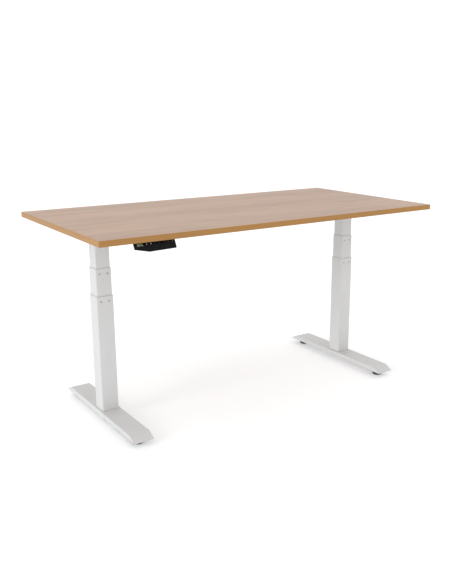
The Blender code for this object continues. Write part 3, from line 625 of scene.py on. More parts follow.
@dataclass(frozen=True)
class Finish:
    """A finish of the desk's pieces, and the record's slot that it belongs to."""

    name: str
    slot: str
    colour: Colour

    def material(self) -> bpy.types.Material:
        """Find the finish's material, or build it."""
        found = bpy.data.materials.get(self.name)
        if found:
            return found
        material = bpy.data.materials.new(self.name)
        material.use_nodes = True
        material.diffuse_color = paint(self.colour)
        nodes = Nodes(material.node_tree)
        self.wire(nodes, material.node_tree.nodes["Principled BSDF"], nodes.place())
        return material

    def wire(self, nodes: Nodes, shader: bpy.types.Node, where: Socket) -> None:
        """Feed the shader.

        Args:
            nodes: The material's nodes.
            shader: Its Principled BSDF.
            where: The point's place on the piece.
        """
        raise NotImplementedError


@dataclass(frozen=True)
class PowderCoat(Finish):
    """Powder coat on steel: a fine skin, thinner on the edges, with a little dust low down."""

    rough: float = 0.46

    def wire(self, nodes: Nodes, shader: bpy.types.Node, where: Socket) -> None:
        """Feed the shader."""
        skin = SPECKLE.apply(nodes, {"Vector": where, "Grain": 650.0})
        edge_masks = EDGE_AND_WEAR_MASKS.apply(nodes, {"Vector": where, "Size": 0.0012, "Breakup": 70.0})
        dust = DUST.apply(nodes, {"Vector": where, "Reach": 0.12})["Dust"]
        base = nodes.mixed(skin["Tone"], toned(self.colour, 0.955), toned(self.colour, 1.035))
        fleck = nodes.mixed(nodes.times(skin["Fleck"], 0.10), base, toned(self.colour, 0.86))
        edged = nodes.mixed(nodes.times(edge_masks["Worn"], 0.30), fleck, toned(self.colour, 1.12))
        dusty = nodes.mixed(nodes.times(dust, 0.12), edged, (0.41, 0.39, 0.37, 1.0))
        dull = nodes.ranged(skin["Fleck"], 0.0, 1.0, self.rough - 0.05, self.rough + 0.08)
        rough = nodes.maths("SUBTRACT", dull, nodes.times(edge_masks["Edge"], 0.1))
        nodes.surface(shader, dusty, rough, skin["Height"], 0.00006)


@dataclass(frozen=True)
class Laminate(Finish):
    """Printed wood laminate with a satin lacquer: figure, fibres and pores along X."""

    dark: Colour = (0.2, 0.1, 0.06)

    def wire(self, nodes: Nodes, shader: bpy.types.Node, where: Socket) -> None:
        """Feed the shader."""
        wood = WOOD.apply(nodes, {"Vector": where})
        broad = nodes.ranged(wood["Broad"], 0.30, 0.70)
        base = nodes.mixed(broad, toned(self.colour, 0.88), toned(self.colour, 1.10))
        streaks = nodes.ranged(wood["Figure"], 0.48, 0.80, 0.0, 0.55)
        figured = nodes.mixed(streaks, base, paint(self.dark))
        pale = nodes.ranged(wood["Figure"], 0.42, 0.18, 0.0, 0.30)
        lit = nodes.mixed(pale, figured, toned(self.colour, 1.28))
        fibres = nodes.mixed(nodes.ranged(wood["Fibre"], 0.45, 0.75, 0.0, 0.22), lit,
                             paint(self.dark))
        pores = nodes.mixed(nodes.times(wood["Pore"], 0.35), fibres, toned(self.dark, 0.7))
        relief = nodes.maths("SUBTRACT", nodes.times(wood["Fibre"], 0.4), wood["Pore"])
        rough = nodes.ranged(wood["Fibre"], 0.25, 0.75, 0.38, 0.52)
        nodes.surface(shader, pores, rough, relief, 0.00004)


@dataclass(frozen=True)
class EdgeBand(Finish):
    """Printed plastic edge band: streaks along its length, and a painted highlight that makes every
    arris paler.
    """

    length: Along = Along.X

    def wire(self, nodes: Nodes, shader: bpy.types.Node, where: Socket) -> None:
        """Feed the shader."""
        turn = (0, 0, math.pi / 2 if self.length is Along.Y else 0)
        lengthways = nodes.add("ShaderNodeMapping", {"Vector": where, "Rotation": turn}).outputs[0]
        wood = WOOD.apply(nodes, {"Vector": lengthways})
        edge_masks = EDGE_AND_WEAR_MASKS.apply(nodes, {"Vector": where, "Size": 0.0012, "Breakup": 25.0})
        base = nodes.mixed(nodes.ranged(wood["Broad"], 0.3, 0.7), toned(self.colour, 0.92),
                           toned(self.colour, 1.08))
        for lines, share, tone in (("Figure", 0.35, 0.62), ("Fibre", 0.25, 0.7)):
            streaks = nodes.ranged(wood[lines], 0.5, 0.8, 0.0, share)
            base = nodes.mixed(streaks, base, toned(self.colour, tone))
        # Painted highlight: the unbroken edge mask paints every arris of the band paler, standing
        # in for light caught on its rounded edge.
        rubbed = nodes.mixed(nodes.times(edge_masks["Edge"], 0.35), base, toned(self.colour, 1.3))
        rough = nodes.ranged(wood["Fibre"], 0.3, 0.7, 0.34, 0.46)
        nodes.surface(shader, rubbed, rough, wood["Fibre"], 0.00003)


@dataclass(frozen=True)
class Metal(Finish):
    """Bare metal, with drawn or brushed lines, cloudier in places and brighter on its edges."""

    rough: float = 0.3
    cast: bool = False

    def wire(self, nodes: Nodes, shader: bpy.types.Node, where: Socket) -> None:
        """Feed the shader."""
        shader.inputs["Metallic"].default_value = 1.0
        edge_masks = EDGE_AND_WEAR_MASKS.apply(nodes, {"Vector": where, "Size": 0.0008, "Breakup": 200.0})
        if self.cast:
            skin = SPECKLE.apply(nodes, {"Vector": where, "Grain": 700.0})
            fine, slow, depth = skin["Height"], skin["Tone"], 0.00012
        else:
            lines = BRUSHED.apply(nodes, {"Vector": where})
            fine, slow, depth = lines["Lines"], lines["Bands"], 0.00002
        base = nodes.mixed(slow, toned(self.colour, 0.82), toned(self.colour, 1.12))
        bright = nodes.mixed(nodes.times(edge_masks["Worn"], 0.5), base, toned(self.colour, 1.35))
        rough = nodes.ranged(fine, 0.3, 0.7, self.rough - 0.06, self.rough + 0.10)
        nodes.surface(shader, bright, rough, fine, depth)


@dataclass(frozen=True)
class Moulded(Finish):
    """Moulded plastic or rubber with a spark-eroded grain, shinier and paler where it is rubbed."""

    rough: float = 0.5
    grain: float = 1500.0
    depth: float = 0.00006
    dust: float = 0.0

    def wire(self, nodes: Nodes, shader: bpy.types.Node, where: Socket) -> None:
        """Feed the shader."""
        skin = SPECKLE.apply(nodes, {"Vector": where, "Grain": self.grain})
        edge_masks = EDGE_AND_WEAR_MASKS.apply(nodes, {"Vector": where, "Size": 0.0007, "Breakup": 150.0})
        base = nodes.mixed(skin["Tone"], toned(self.colour, 0.85), toned(self.colour, 1.15))
        edged = nodes.mixed(nodes.times(edge_masks["Worn"], 0.4), base, toned(self.colour, 1.8))
        if self.dust:
            settled = DUST.apply(nodes, {"Vector": where, "Reach": 0.05})["Dust"]
            edged = nodes.mixed(nodes.times(settled, self.dust), edged, (0.30, 0.28, 0.26, 1.0))
        dull = nodes.ranged(skin["Fleck"], 0.0, 1.0, self.rough - 0.06, self.rough + 0.08)
        rough = nodes.maths("SUBTRACT", dull, nodes.times(edge_masks["Edge"], 0.12))
        nodes.surface(shader, edged, rough, skin["Height"], self.depth)


@dataclass(frozen=True)
class GlossPanel(Finish):
    """Gloss black plastic under a clear coat, with faint smears from fingers."""

    def wire(self, nodes: Nodes, shader: bpy.types.Node, where: Socket) -> None:
        """Feed the shader."""
        smear = nodes.ranged(nodes.noise(where, 55.0, 4.0, 0.6), 0.42, 0.68)
        smudged = nodes.mixed(smear, paint(self.colour), toned(self.colour, 2.2))
        rough = nodes.maths("ADD", nodes.times(smear, 0.10), 0.16)
        nodes.surface(shader, smudged, rough, nodes.noise(where, 240.0, 1.0), 0.00001)
        shader.inputs["Specular IOR Level"].default_value = 0.08
        shader.inputs["Coat Weight"].default_value = 0.03
        shader.inputs["Coat Roughness"].default_value = 0.04


@dataclass(frozen=True)
class SmokedPane(Finish):
    """A clear window, slightly smoked and smeared."""

    def wire(self, nodes: Nodes, shader: bpy.types.Node, where: Socket) -> None:
        """Feed the shader."""
        smear = nodes.ranged(nodes.noise(where, 90.0, 3.0), 0.4, 0.7)
        smudged = nodes.mixed(smear, paint(self.colour), toned(self.colour, 0.9))
        nodes.surface(shader, smudged, nodes.times(smear, 0.08))
        shader.inputs["Transmission Weight"].default_value = 1.0
        shader.inputs["IOR"].default_value = 1.49


@dataclass(frozen=True)
class Circuit(Finish):
    """Solder-resist green over copper tracks."""

    def wire(self, nodes: Nodes, shader: bpy.types.Node, where: Socket) -> None:
        """Feed the shader."""
        values = {"Vector": where, "Scale": 260.0, "Mortar Size": 0.18, "Brick Width": 1.4,
                  "Row Height": 0.5}
        tracks = nodes.add("ShaderNodeTexBrick", values).outputs["Fac"]
        bend = nodes.ranged(nodes.noise(where, 120.0, 2.0), 0.45, 0.55)
        shown = nodes.times(tracks, bend)
        green = nodes.mixed(shown, paint(self.colour), toned(self.colour, 2.2))
        rough = nodes.maths("ADD", nodes.times(bend, 0.12), 0.28)
        nodes.surface(shader, green, rough, shown, 0.00004)


@dataclass(frozen=True)
class Printed(Finish):
    """Screen-printed ink, a little uneven."""

    def wire(self, nodes: Nodes, shader: bpy.types.Node, where: Socket) -> None:
        """Feed the shader."""
        uneven = nodes.noise(where, 2500.0, 2.0)
        ink = nodes.mixed(uneven, toned(self.colour, 0.85), paint(self.colour))
        nodes.surface(shader, ink, nodes.ranged(uneven, 0.3, 0.7, 0.35, 0.5))


@dataclass(frozen=True)
class LitSegment(Finish):
    """A lit segment of the height display, its glow a little uneven."""

    strength: float = 2.0

    def wire(self, nodes: Nodes, shader: bpy.types.Node, where: Socket) -> None:
        """Feed the shader."""
        glow = nodes.mixed(nodes.noise(where, 900.0, 1.0), toned(self.colour, 0.8),
                           paint(self.colour))
        nodes.feed(shader.inputs["Base Color"], glow)
        nodes.feed(shader.inputs["Emission Color"], glow)
        shader.inputs["Emission Strength"].default_value = self.strength
        shader.inputs["Roughness"].default_value = 0.4


WHITE_COAT = PowderCoat("powder_coat_white", "white_steel", (0.60, 0.60, 0.598))
OAK_LAMINATE = Laminate("laminate_figured", "laminate", (0.42, 0.275, 0.19),
                        dark=(0.23, 0.125, 0.075))
BAND_LONG = EdgeBand("edge_band_long", "edge_band", (0.36, 0.172, 0.034))
BAND_SHORT = EdgeBand("edge_band_short", "edge_band", (0.36, 0.172, 0.034), length=Along.Y)
BARE_STEEL = Metal("bare_steel_drawn", "bare_steel", (0.55, 0.56, 0.58))
ZINC = Metal("zinc_plated_screws", "bare_steel", (0.36, 0.37, 0.39), rough=0.36)
CAST = Metal("cast_housing", "cast_metal", (0.42, 0.43, 0.44), rough=0.5, cast=True)
BLACK_PLASTIC = Moulded("moulded_black", "black_plastic", (0.018, 0.018, 0.02))
GLIDE = Moulded("glide_grey", "glide_plastic", (0.60, 0.60, 0.595), rough=0.42, grain=900.0,
                depth=0.00003)
SHEATH = Moulded("cable_sheath", "cable_black", (0.014, 0.014, 0.015), rough=0.45, grain=700.0,
                 depth=0.00005)
PAD_RUBBER = Moulded("moulded_pad", "rubber", (0.016, 0.016, 0.017), rough=0.62, grain=1100.0,
                     depth=0.00008, dust=0.35)
GLOSS = GlossPanel("gloss_black_panel", "gloss_black", (0.0045, 0.0040, 0.0040))
PANE = SmokedPane("smoked_pane", "display_glass", (0.55, 0.55, 0.52))
BOARD_GREEN = Circuit("circuit_board", "circuit_green", (0.02, 0.13, 0.055))
INK_BRIGHT = Printed("ink_bright", "gloss_black", (0.90, 0.90, 0.90))
INK_DIM = Printed("ink_dim", "gloss_black", (0.22, 0.22, 0.22))
SEGMENT = LitSegment("display_segment", "display_glass", (0.86, 0.80, 0.48), strength=1.0)
UNLIT = Moulded("display_block", "display_glass", (0.03, 0.03, 0.028), rough=0.4)


# ---- Making pieces ----------------------------------------------------------------------------
def add_piece(name: str, shape: Shape, finish: Finish, body: str, stands_for: Sequence[str] = (),
              edge: float = 0.0, crease: float = 40.0) -> None:
    """Turn a shape into a finished piece that rides on one of the frame's bodies.

    Args:
        name: The piece's name.
        shape: Its shape, in the frame's axes; it is used up.
        finish: Its finish.
        body: The body that it moves with.
        stands_for: The frame's nodes that it takes the place of.
        edge: The radius of its rounded edges, or 0.
        crease: Faces that meet at less than this many degrees are shaded as one.
    """
    bmesh.ops.recalc_face_normals(shape, faces=shape.faces[:])
    mesh = bpy.data.meshes.new(name)
    shape.to_mesh(mesh)
    shape.free()
    mesh.materials.append(finish.material())
    mesh.shade_smooth()
    mesh.set_sharp_from_angle(angle=math.radians(crease))
    piece = bpy.data.objects.new(name, mesh)
    bpy.context.scene.collection.objects.link(piece)
    if edge:
        rounding = piece.modifiers.new("rounded_edges", "BEVEL")
        rounding.width = edge
        rounding.segments = 2
        rounding.limit_method = "ANGLE"
        rounding.angle_limit = math.radians(crease)
        rounding.harden_normals = True
    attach(piece, body)
    if stands_for:
        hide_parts(*stands_for)
    LOG.info("%s rides on %s", name, body)


def add_screws(name: str, places: Iterable[Matrix], radius: float, height: float,
               body: str = "top") -> None:
    """Make one piece of equal plated screw heads.

    Args:
        name: The piece's name.
        places: Where each head sits, with its driver's side along Z.
        radius: Of a head.
        height: Of a head.
        body: The body that they move with.
    """
    heads = [moved(screw_head(radius, height), place) for place in places]
    add_piece(name, joined(heads), ZINC, body)


def dress(node: str, finish: Finish) -> None:
    """Give a node of the frame, which keeps its shape, its finish."""
    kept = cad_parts[node]
    kept.data.materials.clear()
    kept.data.materials.append(finish.material())
    LOG.info("%s keeps its shape", node)


def middle(node: str) -> Vector:
    """The centre of a node's box."""
    low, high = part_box(node)
    return (low + high) / 2


# ---- Tabletop ---------------------------------------------------------------------------------
@dataclass
class Tabletop:
    """The laminated board with a band on each edge."""

    arris: float = 0.00015
    band_round: float = 0.0011

    def build(self) -> None:
        """Make the board and its bands."""
        low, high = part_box("tabletop_board")
        grown = Vector((SEAM, SEAM, 0))
        add_piece("laminated_board", box(low - grown, high + grown), OAK_LAMINATE, "top",
                  ["tabletop_board"], edge=self.arris)
        self.band("front_edge_band", Along.X, -1, BAND_LONG)
        self.band("back_edge_band", Along.X, 1, BAND_LONG)
        self.band("left_edge_band", Along.Y, -1, BAND_SHORT)
        self.band("right_edge_band", Along.Y, 1, BAND_SHORT)

    def band(self, node: str, along: Along, outward: int, finish: Finish) -> None:
        """Make one band.

        Args:
            node: The frame's node for it.
            along: The axis that it runs along.
            outward: Which way its outer face looks, along the other level axis.
            finish: Its finish.
        """
        low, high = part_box(node)
        thick = 1 if along is Along.X else 0
        outer, inner = (high[thick], low[thick]) if outward > 0 else (low[thick], high[thick])
        r = self.band_round
        profile = rounded([(inner, low.z, 0), (outer, low.z, r), (outer, high.z, r),
                           (inner, high.z, 0)])
        run = 0 if along is Along.X else 1
        grow = 0.0 if along is Along.X else SEAM
        shape = prism(profile, low[run] - grow, high[run] + grow, along)
        add_piece(node + "_strip", shape, finish, "top", [node], edge=self.arris, crease=50.0)


# ---- Columns ----------------------------------------------------------------------------------
@dataclass
class Column:
    """One three-stage column: tubes, glides, their screws and the spindles inside."""

    side: Side
    wall: float = 0.0015
    corner: float = 0.004
    corner_steps: int = 8
    mouth_edge: float = 0.0004
    screw_drop: float = 0.0195
    screw_spread: float = 0.0165
    screw_radius: float = 0.0036
    screw_height: float = 0.0007
    screw_proud: float = 0.0002
    lip_gap: float = 0.0003
    thread_pitch: float = 0.006
    rod_radius: float = 0.005
    rod_root: float = 0.0041
    flange_height: float = 0.005
    flange_edge: float = 0.0005
    sleeve_radius: float = 0.0075
    sleeve_root: float = 0.0068
    sleeve_bore: float = 0.0055
    collar_radius: float = 0.011
    collar_height: float = 0.005

    def build(self) -> None:
        """Make the column from the foot up."""
        word = self.side.word
        self.stage("lower", f"{word}_base")
        self.stage("middle", f"{word}_middle")
        self.tube("upper", "top", [])
        self.spindles()
        for node in (f"{word}_base_plate", f"{word}_spindle_carrier", f"{word}_drive_spindle"):
            dress(node, BARE_STEEL)

    def stage(self, stage: str, body: str) -> None:
        """Make a tube that holds a glide in its mouth, with the glide's screws."""
        places = self.screw_places(stage)
        self.tube(stage, body, places)
        self.bush(stage, body)
        add_screws(f"{self.side.word}_{stage}_glide_screws", places, self.screw_radius,
                   self.screw_height, body)

    def square(self, width: float, radius: float) -> Outline:
        """The outline of a square section about the column's axis."""
        x = middle(f"{self.side.word}_lower_tube").x
        return rounded_rectangle(width, width, radius, x, 0, self.corner_steps)

    def screw_places(self, stage: str) -> list[Matrix]:
        """Where a glide's four screws sit, two in the front of its tube and two in the back.

        Their heads stand only just proud of the tube, because the middle stage's pass into the
        lower glide when the desk is down.
        """
        low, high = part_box(f"{self.side.word}_{stage}_tube")
        x, z = (low.x + high.x) / 2, high.z - self.screw_drop
        sunk = self.screw_height - self.screw_proud
        return [at((x + spread, y, z), (turn, 0, 0))
                for y, turn in ((low.y + sunk, 90), (high.y - sunk, -90))
                for spread in (-self.screw_spread, self.screw_spread)]

    def tube(self, stage: str, body: str, places: Sequence[Matrix]) -> None:
        """Make one square tube, with a hole for each screw."""
        node = f"{self.side.word}_{stage}_tube"
        low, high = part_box(node)
        width = high.x - low.x
        shape = hollow(self.square(width, self.corner),
                       self.square(width - 2 * self.wall, self.corner - self.wall), low.z, high.z)
        if places:
            reach, bore = 2 * self.wall, self.screw_radius + self.screw_proud
            holes = [moved(turned([(bore, -reach), (bore, reach)], 36), place) for place in places]
            shape = carved(shape, [joined(holes)])
        add_piece(f"{node}_profile", shape, WHITE_COAT, body, [node], edge=self.mouth_edge,
                  crease=50.0)

    def bush(self, stage: str, body: str) -> None:
        """Make the glide sleeve in a tube's mouth, with its lip over the rim."""
        node = f"{self.side.word}_{stage}_bush"
        low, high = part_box(node)
        width = high.x - low.x
        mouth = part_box(f"{self.side.word}_{stage}_tube")[1].z
        following = {"lower": "middle", "middle": "upper"}[stage]
        inner_low, inner_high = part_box(f"{self.side.word}_{following}_tube")
        bore = inner_high.x - inner_low.x + 2 * self.lip_gap
        rim = self.square(width, self.corner)
        sleeve = self.square(width - 2 * (self.wall + self.lip_gap), self.corner - self.wall)
        inside = self.square(bore, self.corner)
        seat = mouth + TIGHT
        sections = ((inside, low.z), (sleeve, low.z), (sleeve, seat), (rim, seat), (rim, high.z),
                    (inside, high.z))
        shape = loft([[(x, y, z) for x, y in ring] for ring, z in sections], closed=True)
        add_piece(f"{node}_collar", shape, GLIDE, body, [node], edge=self.mouth_edge, crease=50.0)

    def spindles(self) -> None:
        """Make the threaded spindles that lift the two upper stages."""
        word = self.side.word
        low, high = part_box(f"{word}_fixed_spindle")
        x, edge = middle(f"{word}_fixed_spindle").x, self.flange_edge
        rise = low.z + self.flange_height
        flange = (high.x - low.x) / 2
        thread = threaded(self.rod_radius, self.rod_root, self.thread_pitch, rise - edge, high.z)
        base = turned([(flange - edge, low.z), (flange, low.z + edge), (flange, rise - edge),
                       (flange - edge, rise), (self.rod_radius, rise)])
        add_piece(f"{word}_fixed_screw", moved(joined([base, thread]), at((x, 0, 0))), BARE_STEEL,
                  f"{word}_base", [f"{word}_fixed_spindle"])
        low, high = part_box(f"{word}_hollow_spindle")
        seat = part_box(f"{word}_spindle_carrier")[1].z + self.lip_gap
        inner, outer = self.sleeve_radius - TIGHT, self.collar_radius
        sleeve = threaded(self.sleeve_radius, self.sleeve_root, self.thread_pitch, low.z, high.z,
                          self.sleeve_bore)
        collar = turned([(inner, seat), (outer, seat), (outer, seat + self.collar_height),
                         (inner, seat + self.collar_height)], closed=True)
        add_piece(f"{word}_hollow_screw", moved(joined([sleeve, collar]), at((x, 0, 0))),
                  BARE_STEEL, f"{word}_hollow", [f"{word}_hollow_spindle"])


# ---- Feet -------------------------------------------------------------------------------------
@dataclass
class Foot:
    """One pressed-steel foot with its bolts and two levelling feet."""

    side: Side
    level_length: float = 0.590
    tip_nose: float = 0.0015
    sheet: float = 0.003
    fold: float = 0.0030
    bend: float = 0.030
    nut_radius: float = 0.009
    nut_bore: float = 0.0043
    nut_rise: float = 0.0008
    nose_round: float = 0.0006
    bolt_spread: float = 0.022
    bolt_across: float = 0.010
    bolt_height: float = 0.0062
    bolt_flange: float = 0.0078
    collar_across: float = 0.014
    collar_height: float = 0.003
    collar_rise: float = 0.0176
    stud_radius: float = 0.0040
    stud_root: float = 0.0034
    stud_pitch: float = 0.00125
    stud_rise: float = 0.020

    def build(self) -> None:
        """Make the pressing, its bolts and its levelling feet."""
        self.pressing()
        self.bolts()
        for end in ("front", "back"):
            self.levelling_foot(end)

    def pressing(self) -> None:
        """Make the folded channel with sloped tips and the nuts welded in it."""
        word = self.side.word
        low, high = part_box(f"{word}_foot")
        x, half_width, half = (low.x + high.x) / 2, (high.x - low.x) / 2, high.y
        flat, nose = self.level_length / 2, low.z + self.tip_nose
        outline = rounded([(-half, low.z, 0), (half, low.z, 0), (half, nose, self.nose_round),
                           (flat, high.z, self.bend), (-flat, high.z, self.bend),
                           (-half, nose, self.nose_round)], steps=6)
        shell = prism(outline, -half_width, half_width, Along.X)
        folds = [edge for edge in shell.edges if self.on_fold(edge, half_width, nose)]
        bmesh.ops.bevel(shell, geom=folds, offset=self.fold, segments=5, profile=0.5,
                        affect="EDGES")
        slope = (high.z - nose) / (half - flat)
        drop, top = self.sheet * math.sqrt(1 + slope**2), high.z - self.sheet
        inner_flat = flat - (drop - self.sheet) / slope
        reach = inner_flat + (top - low.z + SEAM) / slope
        inside = [(-reach, low.z - SEAM), (reach, low.z - SEAM), (inner_flat, top),
                  (-inner_flat, top)]
        inner_half = half_width - self.sheet
        body = carved(shell, [prism(inside, -inner_half, inner_half, Along.X)])
        under, over = low.z + self.nut_rise, top + SEAM
        section = [(self.nut_bore, under), (self.nut_radius, under), (self.nut_radius, over),
                   (self.nut_bore, over)]
        nuts = [moved(turned(section, 24, closed=True),
                      at((0, middle(f"{word}_{end}_levelling_foot").y, 0)))
                for end in ("front", "back")]
        body = joined([body, *nuts])
        add_piece(f"{word}_foot_pressing", moved(body, at((x, 0, 0))), WHITE_COAT, f"{word}_base",
                  [f"{word}_foot"], edge=0.0004, crease=50.0)

    @staticmethod
    def on_fold(edge: bmesh.types.BMEdge, half_width: float, nose: float) -> bool:
        """Whether an edge runs along a long upper fold of the channel."""
        ends = [vert.co for vert in edge.verts]
        beside = all(abs(abs(end.x) - half_width) < TIGHT for end in ends)
        lengthwise = ends[0].x * ends[1].x > 0
        return beside and lengthwise and min(end.z for end in ends) > nose - 0.0005

    def bolts(self) -> None:
        """Make the four bolts that hold the column, seen from below."""
        word = self.side.word
        x, ceiling = middle(f"{word}_foot").x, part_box(f"{word}_foot")[1].z - self.sheet
        heads = []
        for dx in (-self.bolt_spread, self.bolt_spread):
            for dy in (-self.bolt_spread, self.bolt_spread):
                place = at((x + dx, dy, ceiling + TIGHT), DOWNWARD)
                heads.append(moved(hex_head(self.bolt_across, self.bolt_height,
                                            flange=self.bolt_flange), place))
        add_piece(f"{word}_column_bolts", joined(heads), ZINC, f"{word}_base", edge=0.0002)

    def levelling_foot(self, end: str) -> None:
        """Make a round pad with a hexagonal collar, and its threaded stud."""
        node = f"{self.side.word}_{end}_levelling_foot"
        body = f"{self.side.word}_{end}_leveller"
        low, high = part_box(node)
        place, radius = at((middle(node).x, middle(node).y, 0)), (high.x - low.x) / 2
        rim = ((0.0055, 0), (0.0035, 0.0004), (0.0012, 0.0030), (0, 0.0040), (0, 0.0125),
               (0.0006, 0.0145), (0.0022, 0.0160), (0.0060, 0.0172), (0.0110, 0.0178),
               (radius - 0.006, 0.0180))
        pad = turned([(radius - inset, low.z + rise) for inset, rise in rim], 40)
        collar = moved(hex_head(self.collar_across, self.collar_height),
                       at((0, 0, low.z + self.collar_rise)))
        add_piece(f"{node}_pad", moved(joined([pad, collar]), place), PAD_RUBBER, body, [node],
                  edge=0.0002)
        stud = threaded(self.stud_radius, self.stud_root, self.stud_pitch, low.z + self.stud_rise,
                        high.z)
        add_piece(f"{node}_stud", moved(stud, place.copy()), ZINC, body)


# ---- Under-frame ------------------------------------------------------------------------------
@dataclass
class UnderFrame:
    """The rails, side brackets and column heads that carry the board."""

    rail_radius: float = 0.003
    rail_wall: float = 0.002
    bracket_sheet: float = 0.0025
    bracket_taper: float = 0.090
    bracket_round: float = 0.012
    bracket_fold: float = 0.002
    head_sheet: float = 0.0025
    head_fold: float = 0.003
    plug_room: float = 0.0004
    plug_depth: float = 0.012
    plug_corner: float = 0.0008
    slot_width: float = 0.0062
    slot_length: float = 0.012
    screw_places: tuple[float, ...] = (-0.262, -0.180, -0.095, 0.095, 0.180, 0.262)
    screw_radius: float = 0.0048
    screw_height: float = 0.0024
    bolt_spread: float = 0.028
    bolt_radius: float = 0.0055
    bolt_height: float = 0.0034
    weld_step: float = 0.0025
    weld_radius: float = 0.0011
    weld_ripple: float = 0.0003

    def build(self) -> None:
        """Make the whole frame."""
        for node in ("front_rail", "back_rail"):
            self.rail(node)
        for side in Side:
            self.bracket(side)
            self.column_head(side)
            self.head_bolts(side)

    def rail(self, node: str) -> None:
        """Make one rail, with a plastic cap in each end."""
        low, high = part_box(node)
        width, height = high.y - low.y, high.z - low.z
        y, z = middle(node).y, middle(node).z
        outer = rounded_rectangle(width, height, self.rail_radius, y, z)
        wall, room = self.rail_wall, self.plug_room
        inner = rounded_rectangle(width - 2 * wall, height - 2 * wall, self.rail_radius - wall,
                                  y, z)
        add_piece(f"{node}_profile", hollow(outer, inner, low.x, high.x, Along.X), WHITE_COAT,
                  "top", [node], edge=0.0003, crease=50.0)
        plug = rounded_rectangle(width - 2 * wall - room, height - 2 * wall - room,
                                 self.plug_corner, y, z)
        caps = [prism(plug, *sorted((end + inward * room, end + inward * self.plug_depth)), Along.X)
                for end, inward in ((low.x, 1), (high.x, -1))]
        add_piece(f"{node}_end_plugs", joined(caps), BLACK_PLASTIC, "top", edge=0.0004)

    def bracket(self, side: Side) -> None:
        """Make a tapered channel under one end of the board, with the screws that hold it."""
        node = f"{side.word}_side_bracket"
        low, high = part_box(node)
        x, half, sheet = middle(node).x, high.y, self.bracket_sheet
        short, shoulder = half - self.bracket_taper, high.z - 2 * sheet
        outline = rounded([(-short, low.z, self.bracket_round), (short, low.z, self.bracket_round),
                           (half, shoulder, 0.001), (half, high.z, 0), (-half, high.z, 0),
                           (-half, shoulder, 0.001)])
        body = prism(outline, low.x, high.x, Along.X)
        folds = [edge for edge in body.edges if all(v.co.z > high.z - TIGHT for v in edge.verts)
                 and abs(edge.verts[0].co.x - edge.verts[1].co.x) < TIGHT]
        bmesh.ops.bevel(body, geom=folds, offset=self.bracket_fold, segments=4, profile=0.5,
                        affect="EDGES")
        channel = box((low.x + sheet, -half - TIGHT, low.z - TIGHT),
                      (high.x - sheet, half + TIGHT, high.z - sheet))
        slots = [prism(rounded_rectangle(self.slot_width, self.slot_length, 0.003, x, y),
                       high.z - sheet - TIGHT, high.z + TIGHT) for y in self.screw_places]
        add_piece(f"{node}_channel", carved(body, [channel, joined(slots)]), WHITE_COAT, "top",
                  [node], edge=0.0003, crease=50.0)
        places = [at((x, y, high.z - sheet + TIGHT), DOWNWARD) for y in self.screw_places]
        add_screws(f"{side.word}_bracket_screws", places, self.screw_radius, self.screw_height)

    def column_head(self, side: Side) -> None:
        """Make the cradle that the upper tube stands in."""
        node = f"{side.word}_column_head"
        low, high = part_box(node)
        sheet, fold = self.head_sheet, self.head_fold
        outline = rounded([(low.y, high.z, 0), (low.y, low.z, fold), (high.y, low.z, fold),
                           (high.y, high.z, 0)])
        body = prism(outline, low.x, high.x, Along.X)
        near, far = low.x - TIGHT, high.x - sheet
        if side is Side.LEFT:
            near, far = low.x + sheet, high.x + TIGHT
        inside = box((near, low.y + sheet, low.z + sheet), (far, high.y - sheet, high.z + TIGHT))
        tube_low, tube_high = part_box(f"{side.word}_upper_tube")
        width = tube_high.x - tube_low.x + 2 * SEAM
        hole = prism(rounded_rectangle(width, width, 0.004, middle(node).x, 0), low.z - TIGHT,
                     low.z + sheet + TIGHT)
        add_piece(f"{node}_cradle", carved(body, [inside, hole]), WHITE_COAT, "top", [node],
                  edge=0.0004, crease=50.0)
        self.weld(side, low.z + sheet, width / 2)

    def weld(self, side: Side, height: float, half: float) -> None:
        """Make the weld bead round the upper tube inside the cradle, on its two open sides."""
        x = middle(f"{side.word}_column_head").x
        beads = []
        for y in (-half - 0.0006, half + 0.0006):
            route = [Vector((x - half + 0.004 + i * self.weld_step, y, height + 0.0004))
                     for i in range(int((2 * half - 0.008) / self.weld_step))]
            radii = [self.weld_radius + self.weld_ripple * math.sin(i * 2.3)
                     for i in range(len(route))]
            beads.append(swept(route, radii, 8))
        add_piece(f"{side.word}_head_weld", joined(beads), WHITE_COAT, "top")

    def head_bolts(self, side: Side) -> None:
        """Make the bolts that clamp both rails to a column head."""
        x = middle(f"{side.word}_column_head").x
        heads = []
        for node, outward in (("front_rail", -1), ("back_rail", 1)):
            low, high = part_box(node)
            face = low.y if outward < 0 else high.y
            for dx in (-self.bolt_spread, self.bolt_spread):
                place = at((x + dx, face, middle(node).z), (-90 * outward, 0, 0))
                washer = turned([(0.0074, 0), (0.0074, 0.0010), (0.0070, 0.0013), (0.004, 0.0013)])
                head = moved(screw_head(self.bolt_radius, self.bolt_height, Drive.HEX),
                             at((0, 0, 0.0012)))
                heads.append(moved(joined([washer, head]), place))
        add_piece(f"{side.word}_head_bolts", joined(heads), ZINC, "top")


